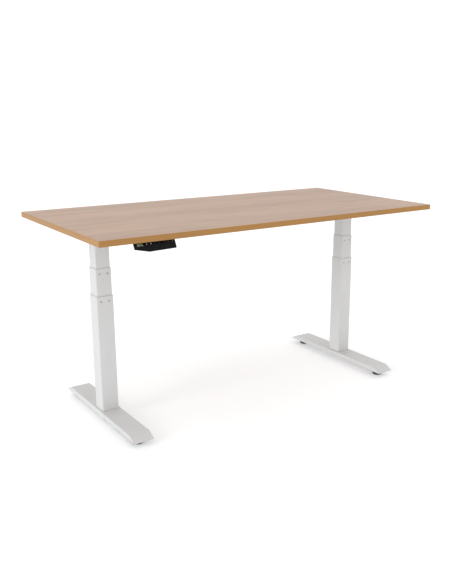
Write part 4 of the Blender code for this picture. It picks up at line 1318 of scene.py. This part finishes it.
# ---- Drives -----------------------------------------------------------------------------------
@dataclass
class DriveUnit:
    """A gearbox and motor inside one column head."""

    side: Side
    corner: float = 0.005
    lid: float = 0.004
    output_radius: float = 0.0063
    output_depth: float = 0.0183
    rib_pitch: float = 0.009
    rib_width: float = 0.002
    screw_inset: float = 0.007
    can_length: float = 0.098
    boss_height: float = 0.006
    neck_radius: float = 0.0145
    end_ribs: int = 12
    ring_inset: float = 0.0075

    def build(self) -> None:
        """Make the gearbox, its lid and the motor."""
        self.gearbox()
        self.motor()

    def gearbox(self) -> None:
        """Make the cast housing with a lid, ribs and corner screws."""
        word = self.side.word
        node = f"{word}_gearbox"
        low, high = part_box(node)
        centre = middle(node)
        size, joint, half_rib = high.x - low.x, high.z - self.lid, self.rib_width / 2
        block = prism(rounded_rectangle(size, size, self.corner, centre.x, centre.y), low.z, joint)
        bore = turned([(self.output_radius, low.z - TIGHT),
                       (self.output_radius, low.z + self.output_depth)])
        body = carved(block, [moved(bore, at((centre.x, 0, 0)))])
        ribs = []
        for x in (centre.x + i * self.rib_pitch for i in range(-2, 3)):
            ribs.append(box((x - half_rib, low.y + TIGHT, low.z + 0.003),
                            (x + half_rib, low.y + 0.0009, joint)))
        add_piece(f"{node}_housing", joined([body, *ribs]), CAST, "top", [node], edge=0.0008)
        cover = prism(rounded_rectangle(size - 0.001, size - 0.001, 0.0055, centre.x, centre.y),
                      joint + 0.0003, high.z - 0.0012)
        boss = moved(turned([(0.014, high.z - 0.0013), (0.014, high.z - 0.0003), (0.012, high.z),
                             (0.006, high.z)]), at((centre.x, 0, 0)))
        add_piece(f"{node}_lid", joined([cover, boss]), CAST, "top", edge=0.0005)
        out = size / 2 - self.screw_inset
        places = [at((centre.x + dx, dy, high.z - 0.0013)) for dx in (-out, out)
                  for dy in (-out, out)]
        add_screws(f"{node}_lid_screws", places, 0.0032, 0.0013)

    def motor(self) -> None:
        """Make the motor: flange, rolled can, end bell with its bearing boss, and two tie bolts."""
        word, sign = self.side.word, self.side.sign
        node = f"{word}_motor"
        low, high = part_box(node)
        near, far = (high.x, low.x) if sign > 0 else (low.x, high.x)
        length, radius = abs(far - near), (high.y - low.y) / 2
        place = at((near, middle(node).y, middle(node).z), (0, -90 * sign, 0))
        neck, groove = length - self.can_length - self.boss_height, radius - 0.0009
        flange = [(self.neck_radius, 0), (self.neck_radius, neck), (radius - 0.001, neck),
                  (radius, neck + 0.001), (radius, neck + 0.0075), (groove, neck + 0.0082),
                  (groove, neck + 0.0092), (radius, neck + 0.010)]
        end = [(radius, 0.026), (groove, 0.0252), (groove, 0.0244), (radius, 0.0236),
               (radius, 0.009), (radius - 0.002, 0.0065), (radius - 0.006, 0.0060)]
        boss = [(0.0105, 0.0060), (0.0100, 0.0050), (0.0100, 0.0006), (0.0090, 0), (0.004, 0)]
        can = turned(flange + [(reach, length - back) for reach, back in end + boss], 48)
        add_piece(f"{node}_can", moved(can, place), BARE_STEEL, "top", [node])
        ring, ribs = radius - self.ring_inset, []
        for step in range(self.end_ribs):
            turn = math.tau * step / self.end_ribs
            spot = at((ring * math.cos(turn), ring * math.sin(turn), length - 0.0061),
                      (0, 0, math.degrees(turn)))
            ribs.append(moved(box((-0.0035, -0.0011, 0), (0.0035, 0.0011, 0.0012)), place @ spot))
        add_piece(f"{node}_end_ribs", joined(ribs), BLACK_PLASTIC, "top", edge=0.0003)
        places = [place @ at((0, across, length - 0.0062)) for across in (-ring, ring)]
        add_screws(f"{node}_tie_bolts", places, 0.0030, 0.0022)


# ---- Control box ------------------------------------------------------------------------------
@dataclass
class ControlBox:
    """The control box under the board, with its circuit, inlet, sockets and screws."""

    corner: float = 0.004
    wall: float = 0.002
    vent_count: int = 9
    vent_pitch: float = 0.011
    vent_middle: float = -0.045
    vent_width: float = 0.0035
    vent_round: float = 0.0017
    ear_screw_inset: float = 0.009
    ear_screw_spread: float = 0.028
    cover_screw_inset: float = 0.008

    def build(self) -> None:
        """Make the box and what is in it."""
        self.cover_low, self.cover_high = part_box("control_box_cover")
        self.plate()
        self.cover()
        self.inlet()
        self.sockets()
        self.circuit()

    def plate(self) -> None:
        """Make the mounting plate with slotted ears, and the screws in them."""
        low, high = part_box("control_box_base")
        y = (low.y + high.y) / 2
        outline = rounded_rectangle(high.x - low.x, high.y - low.y, 0.005, 0, y)
        spots = [(x, y + dy) for x in (low.x + self.ear_screw_inset, high.x - self.ear_screw_inset)
                 for dy in (-self.ear_screw_spread, self.ear_screw_spread)]
        holes = [prism(rounded_rectangle(0.0052, 0.009, 0.0025, *spot), low.z - TIGHT,
                       high.z + TIGHT) for spot in spots]
        add_piece("control_box_plate", carved(prism(outline, low.z, high.z), [joined(holes)]),
                  BLACK_PLASTIC, "top", ["control_box_base"], edge=0.0003)
        add_screws("control_box_ear_screws", [at((*spot, low.z), DOWNWARD) for spot in spots],
                   0.0042, 0.0022)

    def cover(self) -> None:
        """Make the cover, with rows of vents in its floor and its front side, and its screws."""
        low, high = self.cover_low, self.cover_high
        width, depth, y = high.x - low.x, high.y - low.y, (low.y + high.y) / 2
        body = prism(rounded_rectangle(width, depth, self.corner, 0, y), low.z, high.z)
        outline = rounded_rectangle(width - 2 * self.wall, depth - 2 * self.wall,
                                    self.corner - self.wall, 0, y)
        inside = prism(outline, low.z + self.wall, high.z + TIGHT)
        inlet_low, inlet_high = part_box("mains_inlet")
        window = box((inlet_low.x - SEAM, high.y - 2 * self.wall, inlet_low.z - SEAM),
                     (inlet_high.x + SEAM, high.y + TIGHT, inlet_high.z + SEAM))
        vents = []
        for index in range(self.vent_count):
            x = (index - (self.vent_count - 1) / 2) * self.vent_pitch + self.vent_middle
            slot = rounded_rectangle(self.vent_width, 0.040, self.vent_round, x, y)
            vents.append(prism(slot, low.z - TIGHT, low.z + self.wall + TIGHT))
            slot = rounded_rectangle(self.vent_width, 0.016, self.vent_round, x,
                                     (low.z + high.z) / 2)
            vents.append(prism(slot, low.y - TIGHT, low.y + self.wall + TIGHT, Along.Y))
        add_piece("control_box_shell", carved(body, [inside, window, joined(vents)]), BLACK_PLASTIC,
                  "top", ["control_box_cover"], edge=0.0007, crease=50.0)
        inset = self.cover_screw_inset
        places = [at((across, deep, low.z), DOWNWARD) for across in (low.x + inset, high.x - inset)
                  for deep in (low.y + inset, high.y - inset)]
        add_screws("control_box_cover_screws", places, 0.0030, 0.0012)
        panel = prism(rounded_rectangle(0.060, 0.036, 0.003, 0.062, y), low.z - 0.0004,
                      low.z + TIGHT)
        add_piece("control_box_blank_plate", panel, GLOSS, "top", edge=0.0002)

    def inlet(self) -> None:
        """Make the mains inlet with its shaped recess and three blades."""
        low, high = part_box("mains_inlet")
        x, z = (low.x + high.x) / 2, (low.z + high.z) / 2
        w, h = (high.x - low.x) / 2, (high.z - low.z) / 2
        body = prism([(x - w, z - h), (x + w, z - h), (x + w, z + h), (x - w, z + h)], low.y,
                     high.y, Along.Y)
        rw, rh, cut = w - 0.003, h - 0.003, 0.004
        recess = rounded([(x - rw, z + rh, 0.001), (x - rw, z - rh + cut, 0.001),
                          (x - rw + cut, z - rh, 0.001), (x + rw - cut, z - rh, 0.001),
                          (x + rw, z - rh + cut, 0.001), (x + rw, z + rh, 0.001)], 3)
        add_piece("mains_inlet_socket",
                  carved(body, [prism(recess, high.y - 0.012, high.y + TIGHT, Along.Y)]),
                  BLACK_PLASTIC, "top", ["mains_inlet"], edge=0.0003)
        blades = []
        for u, v in ((x - 0.007, z - 0.0025), (x, z + 0.0025), (x + 0.007, z - 0.0025)):
            blades.append(box((u - 0.002, high.y - 0.0125, v - 0.001),
                              (u + 0.002, high.y - 0.003, v + 0.001)))
        add_piece("mains_inlet_blades", joined(blades), BARE_STEEL, "top", edge=0.0004)

    def sockets(self) -> None:
        """Make the sockets that the leads plug in to, at both ends of the box."""
        frames = []
        low, high = self.cover_low, self.cover_high
        mid = (low.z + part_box("tabletop_board")[0].z) / 2
        for end, outward in ((low.x, -1), (high.x, 1)):
            for y in (low.y + 0.030, low.y + 0.060):
                outer = rounded_rectangle(0.020, 0.014, 0.0012, y, mid)
                inner = rounded_rectangle(0.0165, 0.0105, 0.0006, y, mid)
                ends = sorted((end - outward * 0.0005, end + outward * 0.0024))
                frames.append(hollow(outer, inner, *ends, Along.X))
        add_piece("control_box_sockets", joined(frames), BLACK_PLASTIC, "top", edge=0.0003)

    def circuit(self) -> None:
        """Make the circuit board's parts: transformer, capacitors, relays and driver chips."""
        dress("control_board", BOARD_GREEN)
        low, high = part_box("control_board")
        base, y = low.z, (low.y + high.y) / 2
        blocks = [chip((-0.112, y - 0.018, base - 0.022), (-0.074, y + 0.018, base), 0.002)]
        for x in (-0.060 + i * 0.021 for i in range(4)):
            blocks.append(chip((x, y + 0.008, base - 0.015), (x + 0.016, y + 0.026, base), 0.001))
        for x in (-0.055 + i * 0.026 for i in range(3)):
            blocks.append(chip((x, y - 0.022, base - 0.0035), (x + 0.015, y - 0.008, base), 0.0008))
        add_piece("control_board_relays", joined(blocks), BLACK_PLASTIC, "top", edge=0.0003)
        can = ((0.0062, 0), (0.0062, 0.018), (0.0055, 0.0188), (0.003, 0.0188))
        cans = []
        for index in range(4):
            spot = (0.052 + index * 0.016, y - 0.012 + (index % 2) * 0.018, base)
            cans.append(moved(turned(can), at(spot, DOWNWARD)))
        add_piece("control_board_capacitors", joined(cans), BARE_STEEL, "top")


# ---- Leads ------------------------------------------------------------------------------------
@dataclass
class Leads:
    """The motor leads and the handset lead, with their plugs, boots and clips on the board."""

    motor_radius: float = 0.003
    handset_radius: float = 0.002
    spacing: float = 0.004
    clip_every: float = 0.125
    room: float = 0.0003

    def build(self) -> None:
        """Make all three leads."""
        box_low, box_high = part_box("control_box_cover")
        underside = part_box("tabletop_board")[0].z
        port_z, front = (box_low.z + underside) / 2, box_low.y
        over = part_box("front_rail")[1].z + 2 * self.motor_radius + 2 * self.room
        for side in Side:
            near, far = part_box(f"{side.word}_motor")
            end = abs(near.x if side.sign > 0 else far.x) - self.room
            z = middle(f"{side.word}_motor").z
            stops = [(end, 0, z), (end - 0.020, 0, z), (end - 0.090, 0.012, over),
                     (end - 0.170, 0.045, over + 0.001), (end - 0.240, 0.085, over),
                     (box_high.x + 0.0553, front + 0.056, port_z + 0.004),
                     (box_high.x + 0.0153, front + 0.060, port_z),
                     (box_high.x + 0.0003, front + 0.060, port_z)]
            self.lead(f"{side.word}_motor_lead", [(side.sign * x, y, z) for x, y, z in stops],
                      self.motor_radius, underside)
        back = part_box("handset_shell")[1].y
        x = middle("handset_shell").x
        low = underside - 2 * self.handset_radius - self.room
        stops = [(x + 0.030, back + 0.0003, underside - 0.010),
                 (x + 0.030, back + 0.0103, underside - 0.010),
                 (x + 0.036, back + 0.0403, low - 0.002), (x + 0.064, back + 0.0903, low),
                 (-0.440, -0.160, low), (-0.340, -0.075, low), (-0.270, -0.010, low),
                 (-0.210, 0.045, low), (box_low.x - 0.0503, front + 0.022, port_z + 0.006),
                 (box_low.x - 0.0103, front + 0.030, port_z),
                 (box_low.x - 0.0003, front + 0.030, port_z)]
        self.lead("handset_lead", stops, self.handset_radius, underside)

    def lead(self, node: str, stops: Sequence[Point], radius: float, underside: float) -> None:
        """Make one lead.

        Args:
            node: The frame's node for it.
            stops: The places that it passes, ending in the control box's socket.
            radius: Of its sheath.
            underside: Height of the board's lower face.
        """
        route = smooth_route(stops, self.spacing)
        add_piece(f"{node}_sheath", swept(route, [radius] * len(route)), SHEATH, "top", [node])
        boot = route[:6]
        radii = [radius * (2.0 - 0.16 * i + (0.14 if i % 2 else 0)) for i in range(len(boot))]
        end, outward = Vector(stops[-1]), (1 if stops[-1][0] > 0 else -1)
        plug = box(end + Vector((min(0, outward * 0.014), -0.0078, -0.0048)),
                   end + Vector((max(0, outward * 0.014), 0.0078, 0.0048)))
        collar = swept([end + Vector((outward * (0.0138 + i * 0.0022), 0, 0)) for i in range(5)],
                       [radius * (1.7 - 0.13 * i) for i in range(5)])
        add_piece(f"{node}_boot", swept(boot, radii), BLACK_PLASTIC, "top")
        add_piece(f"{node}_plug", joined([plug, collar]), BLACK_PLASTIC, "top", edge=0.0006)
        self.clips(node, route, radius, underside)

    def clips(self, node: str, route: Sequence[Vector], radius: float, underside: float) -> None:
        """Make the saddles that hold a lead to the board, wherever it runs just below it."""
        clips, run = [], self.clip_every / 2
        rail_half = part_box("back_rail")[1].y + 0.012
        for before, point in zip(route, route[1:]):
            run += (point - before).length
            near = underside - point.z < 4.2 * radius + 0.006
            over_rail = abs(point.y) < rail_half and radius > self.handset_radius
            if run < self.clip_every or not near or over_rail:
                continue
            run = 0.0
            ahead = point - before
            turn = math.degrees(math.atan2(ahead.y, ahead.x))
            drop = point.z - underside
            half, knee = radius * 1.35, drop - radius * 0.6
            arc = [math.pi + math.pi * i / 8 for i in range(1, 8)]
            saddle = [(-half, 0.0), (-half, knee),
                      *[(half * math.cos(angle), knee + radius * 1.2 * math.sin(angle))
                        for angle in arc], (half, knee), (half, 0.0)]
            bend = [(u * 0.80, v if abs(v) < 1e-9 else v + 0.0006) for u, v in saddle]
            strap = loft([[Vector((w, u, v)) for u, v in saddle + bend[::-1]]
                          for w in (-0.003, 0.003)])
            foot = box((-0.004, -radius * 1.3 - 0.008, -0.0014),
                       (0.004, radius * 1.3 + 0.008, -TIGHT))
            place = at((point.x, point.y, underside), (0, 0, turn))
            clips.append(moved(joined([strap, foot]), place))
        if clips:
            add_piece(f"{node}_clips", joined(clips), BLACK_PLASTIC, "top", edge=0.0003)


# ---- Handset ----------------------------------------------------------------------------------
class Symbol(Enum):
    """What is printed on a key."""

    UP = "up"
    DOWN = "down"
    ONE = "1"
    TWO = "2"
    THREE = "3"
    FOUR = "4"
    SAVE = "save"


KEYS = {
    "key_up": Symbol.UP,
    "key_down": Symbol.DOWN,
    "key_preset_1": Symbol.ONE,
    "key_preset_2": Symbol.TWO,
    "key_preset_3": Symbol.THREE,
    "key_preset_4": Symbol.FOUR,
    "key_save": Symbol.SAVE,
}
SEGMENTS = {
    "0": "abcdef", "1": "bc", "2": "abdeg", "3": "abcdg", "4": "bcfg",
    "5": "acdfg", "6": "acdefg", "7": "abc", "8": "abcdefg", "9": "abcdfg",
}


@dataclass
class Handset:
    """The control panel: housing, gloss face, height display and seven keys."""

    tilt: float = 27.5
    setback: float = 0.018
    fascia: float = 0.003
    width: float = 0.161
    left_drop: float = 0.0245
    low_drop: float = 0.0374
    right_drop: float = 0.0346
    low_share: float = 0.34
    corner: float = 0.003
    wall: float = 0.002
    depth: float = 0.058
    back_share: float = 0.6
    side_draft: float = 0.028
    key_drop: float = 0.0095
    key_radius: float = 0.0055
    clearance: float = 0.0003
    window: tuple[float, float] = (0.027, 0.011)
    digit_size: tuple[float, float] = (0.0042, 0.0070)
    digit_bar: float = 0.0009
    digit_front: float = -0.00135
    digit_back: float = -0.0012
    numeral_size: float = 0.0052
    reading: str = "82.0"

    def build(self) -> None:
        """Make the handset from its housing outwards."""
        tilt = math.radians(self.tilt)
        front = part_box("front_edge_band")[0].y
        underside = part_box("tabletop_board")[0].z
        self.x = middle("handset_shell").x
        self.origin = Vector((self.x, front + self.setback + self.fascia * math.cos(tilt),
                              underside - self.clearance - self.fascia * math.sin(tilt)))
        self.face = at(self.origin, (-self.tilt, 0, 0))
        self.window_x = middle("handset_window").x - self.x
        self.housing()
        self.mounting_pad()
        self.panel()
        self.display()
        for node, symbol in KEYS.items():
            self.key(node, symbol)

    def outline(self, inset: float = 0.0) -> Outline:
        """The outline of the face, across and up, taken in by an inset."""
        half, low_x, i = self.width / 2, self.width * (self.low_share - 0.5), inset
        corners = [(-half + i, -self.left_drop + i), (low_x, -self.low_drop + i),
                   (half - i, -self.right_drop + i), (half - i, -i), (-half + i, -i)]
        return rounded([(u, v, self.corner) for u, v in corners], 6)

    def block(self, inset: float, start: float, end: float) -> Shape:
        """Draw the outline back from the tilted face, ever shallower and narrower."""
        tilt = math.radians(self.tilt)
        draft = self.side_draft / (self.width / 2 - inset)
        sections = []
        for share in (0.0, 0.45, 0.8, 1.0):
            ring = []
            for u, v in self.outline(inset):
                lean = (1 - share) * (start + v * math.sin(tilt))
                shallow = math.cos(tilt) + share * (self.back_share - math.cos(tilt))
                ring.append((u * (1 - share * draft), share * end + lean,
                             -inset + (v + inset) * shallow))
            sections.append(ring)
        return loft(sections)

    def housing(self) -> None:
        """Make the hollow housing, and dress the circuit board in it."""
        shell = carved(self.block(0.0, self.clearance, self.depth),
                       [self.block(self.wall, -self.clearance, self.depth - self.wall)])
        add_piece("handset_housing", moved(shell, at(self.origin)), BLACK_PLASTIC, "top",
                  ["handset_shell"], edge=0.0007, crease=35.0)
        dress("handset_board", BOARD_GREEN)

    def mounting_pad(self) -> None:
        """Make the flat pad between the housing and the board."""
        inset, top = 0.005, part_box("tabletop_board")[0].z
        near, far = self.width / 2 - inset, self.width / 2 - inset - self.side_draft
        outline = [(-near, inset), (near, inset), (far, self.depth - inset),
                   (-far, self.depth - inset)]
        pad = prism(outline, self.origin.z - TIGHT, top - TIGHT)
        add_piece("handset_mounting_pad", moved(pad, at((self.x, self.origin.y, 0))), BLACK_PLASTIC,
                  "top", edge=0.0003)

    def panel(self) -> None:
        """Make the gloss face with a hole for each key and for the display."""
        plate = prism(self.outline(), -self.fascia, 0, Along.Y)
        inverse = self.face.inverted()
        holes = []
        for node in KEYS:
            place = inverse @ middle(node)
            cutter = turned([(self.key_radius + self.clearance, -0.01),
                             (self.key_radius + self.clearance, 0.01)], 40)
            holes.append(moved(cutter, at((place.x, 0, -self.key_drop), (90, 0, 0))))
        w, h = self.window[0] / 2 + 0.0002, self.window[1] / 2 + 0.0002
        opening = rounded_rectangle(2 * w, 2 * h, 0.0008, self.window_x, -self.key_drop)
        holes.append(prism(opening, -0.01, 0.01, Along.Y))
        add_piece("handset_face_panel", moved(carved(plate, [joined(holes)]), self.face), GLOSS,
                  "top", ["handset_fascia"], edge=0.0004, crease=35.0)

    def display(self) -> None:
        """Make the smoked pane, and the lit digits behind it."""
        w, h = self.window[0] / 2, self.window[1] / 2
        pane = prism(rounded_rectangle(2 * w, 2 * h, 0.0007, self.window_x, -self.key_drop),
                     -self.fascia + 0.0001, -self.fascia + 0.0009, Along.Y)
        add_piece("handset_display_pane", moved(pane, self.face), PANE, "top", ["handset_window"],
                  edge=0.0001)
        block = box((self.window_x - w + 0.0006, -0.0012, -self.key_drop - h + 0.0006),
                    (self.window_x + w - 0.0006, 0.0040, -self.key_drop + h - 0.0006))
        add_piece("handset_display_block", moved(block, self.face), UNLIT, "top", edge=0.0002)
        bars, cursor = [], -0.0085
        for mark in self.reading:
            if mark == ".":
                x, z = self.window_x + cursor - 0.0006, -self.key_drop - self.digit_size[1] / 2
                bar = self.digit_bar
                bars.append(box((x, self.digit_front, z), (x + bar, self.digit_back, z + bar)))
                cursor += 0.0012
                continue
            bars += self.digit(mark, self.window_x + cursor, -self.key_drop)
            cursor += 0.0062
        add_piece("handset_display_digits", moved(joined(bars), self.face), SEGMENT, "top")

    def digit(self, mark: str, x: float, z: float) -> list[Shape]:
        """Make the lit bars of one digit, whose left side is at x and middle at z."""
        (wide, tall), bar = self.digit_size, self.digit_bar
        left, right, middle_x = x, x + wide, x + wide / 2
        spots = {"a": (middle_x, z + tall / 2, 0), "d": (middle_x, z - tall / 2, 0),
                 "g": (middle_x, z, 0), "f": (left, z + tall / 4, 1), "e": (left, z - tall / 4, 1),
                 "b": (right, z + tall / 4, 1), "c": (right, z - tall / 4, 1)}
        shapes = []
        for name in SEGMENTS[mark]:
            u, v, upright = spots[name]
            reach = (tall / 4 if upright else wide / 2) - 0.0003
            ends = [(-reach, 0), (-reach + bar / 2, bar / 2), (reach - bar / 2, bar / 2),
                    (reach, 0), (reach - bar / 2, -bar / 2), (-reach + bar / 2, -bar / 2)]
            points = [(u + (b if upright else a), v + (a if upright else b)) for a, b in ends]
            shapes.append(prism(points, self.digit_front, self.digit_back, Along.Y))
        return shapes

    def key(self, node: str, symbol: Symbol) -> None:
        """Make a dished key with its printed symbol."""
        place = self.face.inverted() @ middle(node)
        r, front, back = self.key_radius, -self.fascia - 0.0004, 0.0032
        profile = [(r + 0.0011, self.clearance), (r + 0.0011, 0.0015), (r, 0.0015), (r, back),
                   (0.002, back)]
        outer = [(r, self.clearance), (r, front + 0.0006), (r - 0.0003, front + 0.0001),
                 (r - 0.0008, front), (r * 0.6, front + 0.00016), (r * 0.25, front + 0.0002)]
        stem = turned([*outer[::-1], *profile], 40)
        turn = at((place.x, 0, -self.key_drop), (-90, 0, 0))
        add_piece(f"{node}_cap", moved(moved(stem, turn), self.face), GLOSS, node, [node])
        ink = INK_BRIGHT if symbol in (Symbol.UP, Symbol.DOWN) else INK_DIM
        print_place = at((place.x, front + 0.00012, -self.key_drop))
        marks = moved(moved(self.symbol(symbol), print_place), self.face)
        add_piece(f"{node}_print", marks, ink, node)

    def symbol(self, symbol: Symbol) -> Shape:
        """Draw a key's symbol, across and up, as a thin raised print."""
        thick = (-0.00018, 0.00012)
        if symbol in (Symbol.UP, Symbol.DOWN):
            flip = 1 if symbol is Symbol.UP else -1
            arrow = [(0, 2.1), (2.0, 0), (0.75, 0), (0.75, -2.0), (-0.75, -2.0), (-0.75, 0),
                     (-2.0, 0)]
            return prism([(u / 1000, flip * v / 1000) for u, v in arrow], *thick, Along.Y)
        if symbol is Symbol.SAVE:
            ring = hollow(circle(0.0019, 28), circle(0.0013, 28), *thick, Along.Y)
            return joined([ring, prism(circle(0.0006, 16), *thick, Along.Y)])
        text = bpy.data.curves.new("numeral", "FONT")
        text.body, text.size = symbol.value, self.numeral_size
        text.extrude = (thick[1] - thick[0]) / 2
        text.align_x, text.align_y = "CENTER", "CENTER"
        helper = bpy.data.objects.new("numeral", text)
        bpy.context.scene.collection.objects.link(helper)
        shape = bmesh.new()
        graph = bpy.context.evaluated_depsgraph_get()
        shape.from_mesh(helper.evaluated_get(graph).to_mesh())
        bpy.data.objects.remove(helper)
        bpy.data.curves.remove(text)
        bmesh.ops.remove_doubles(shape, verts=shape.verts[:], dist=1e-6)
        return moved(shape, at((0, (thick[0] + thick[1]) / 2, 0), (90, 0, 0)))


# ---- Studio -----------------------------------------------------------------------------------
@dataclass
class Studio:
    """The camera, a pale floor and soft light."""

    eye: tuple[float, float, float] = (-1.7174, -2.6029, 1.2637)
    heading: float = 35.635
    look_down: float = 14.904
    roll: float = 0.273
    lens: float = 44.27
    shift: tuple[float, float] = (-0.0616, 0.0029)
    sky: float = 1.05
    key_power: float = 570.0
    floor_size: float = 60.0

    def build(self) -> None:
        """Make the camera, the floor and the lights."""
        self.camera()
        self.floor()
        self.world()
        self.softbox("key_light", (-14.0, -2.6, 5.0), (0, 0, 0.4), 5.0, self.key_power)
        bpy.context.scene.view_settings.view_transform = "Standard"

    def camera(self) -> None:
        """Place the camera."""
        lens = bpy.data.cameras.new("camera")
        lens.lens = self.lens
        lens.shift_x, lens.shift_y = self.shift
        lens.clip_end = 200.0
        camera = bpy.data.objects.new("camera", lens)
        spin = (Matrix.Rotation(-math.radians(self.heading), 4, "Z")
                @ Matrix.Rotation(math.radians(90 - self.look_down), 4, "X")
                @ Matrix.Rotation(math.radians(self.roll), 4, "Z"))
        camera.matrix_world = Matrix.Translation(self.eye) @ spin
        bpy.context.scene.collection.objects.link(camera)
        bpy.context.scene.camera = camera

    def floor(self) -> None:
        """Lay the pale floor."""
        half = self.floor_size / 2
        mesh = bpy.data.meshes.new("studio_floor")
        mesh.from_pydata([(-half, -half, 0), (half, -half, 0), (half, half, 0), (-half, half, 0)],
                         [], [(0, 1, 2, 3)])
        material = bpy.data.materials.new("studio_floor")
        material.use_nodes = True
        shader = material.node_tree.nodes["Principled BSDF"]
        nodes = Nodes(material.node_tree)
        tone = nodes.mixed(nodes.noise(nodes.place(), 1.5, 2.0), (0.802, 0.812, 0.822, 1),
                           (0.832, 0.842, 0.852, 1))
        nodes.feed(shader.inputs["Base Color"], tone)
        shader.inputs["Roughness"].default_value = 0.9
        shader.inputs["Specular IOR Level"].default_value = 0.1
        shader.inputs["Emission Color"].default_value = (1, 1, 1, 1)
        shader.inputs["Emission Strength"].default_value = 0.25
        behind = nodes.add("ShaderNodeNewGeometry").outputs["Backfacing"]
        nodes.feed(shader.inputs["Alpha"], nodes.maths("SUBTRACT", 1.0, behind))
        mesh.materials.append(material)
        floor = bpy.data.objects.new("studio_floor", mesh)
        bpy.context.scene.collection.objects.link(floor)

    def world(self) -> None:
        """Surround everything with an even white."""
        world = bpy.data.worlds.new("studio")
        world.use_nodes = True
        background = world.node_tree.nodes["Background"]
        background.inputs["Color"].default_value = (1, 1, 1, 1)
        background.inputs["Strength"].default_value = self.sky
        bpy.context.scene.world = world

    def softbox(self, name: str, place: Point, target: Point, size: float, power: float) -> None:
        """Aim a square soft light at a place."""
        light = bpy.data.lights.new(name, "AREA")
        light.size, light.energy = size, power
        lamp = bpy.data.objects.new(name, light)
        lamp.location = place
        lamp.rotation_mode = "QUATERNION"
        lamp.rotation_quaternion = (Vector(target) - Vector(place)).to_track_quat("-Z", "Y")
        bpy.context.scene.collection.objects.link(lamp)


def main() -> None:
    """Build the desk from the top down, then the studio."""
    logging.basicConfig(level=logging.INFO, format="%(name)s: %(message)s")
    Studio().build()
    Tabletop().build()
    UnderFrame().build()
    ControlBox().build()
    Leads().build()
    Handset().build()
    for side in Side:
        DriveUnit(side).build()
        Column(side).build()
        Foot(side).build()


if __name__ == "__main__":
    main()
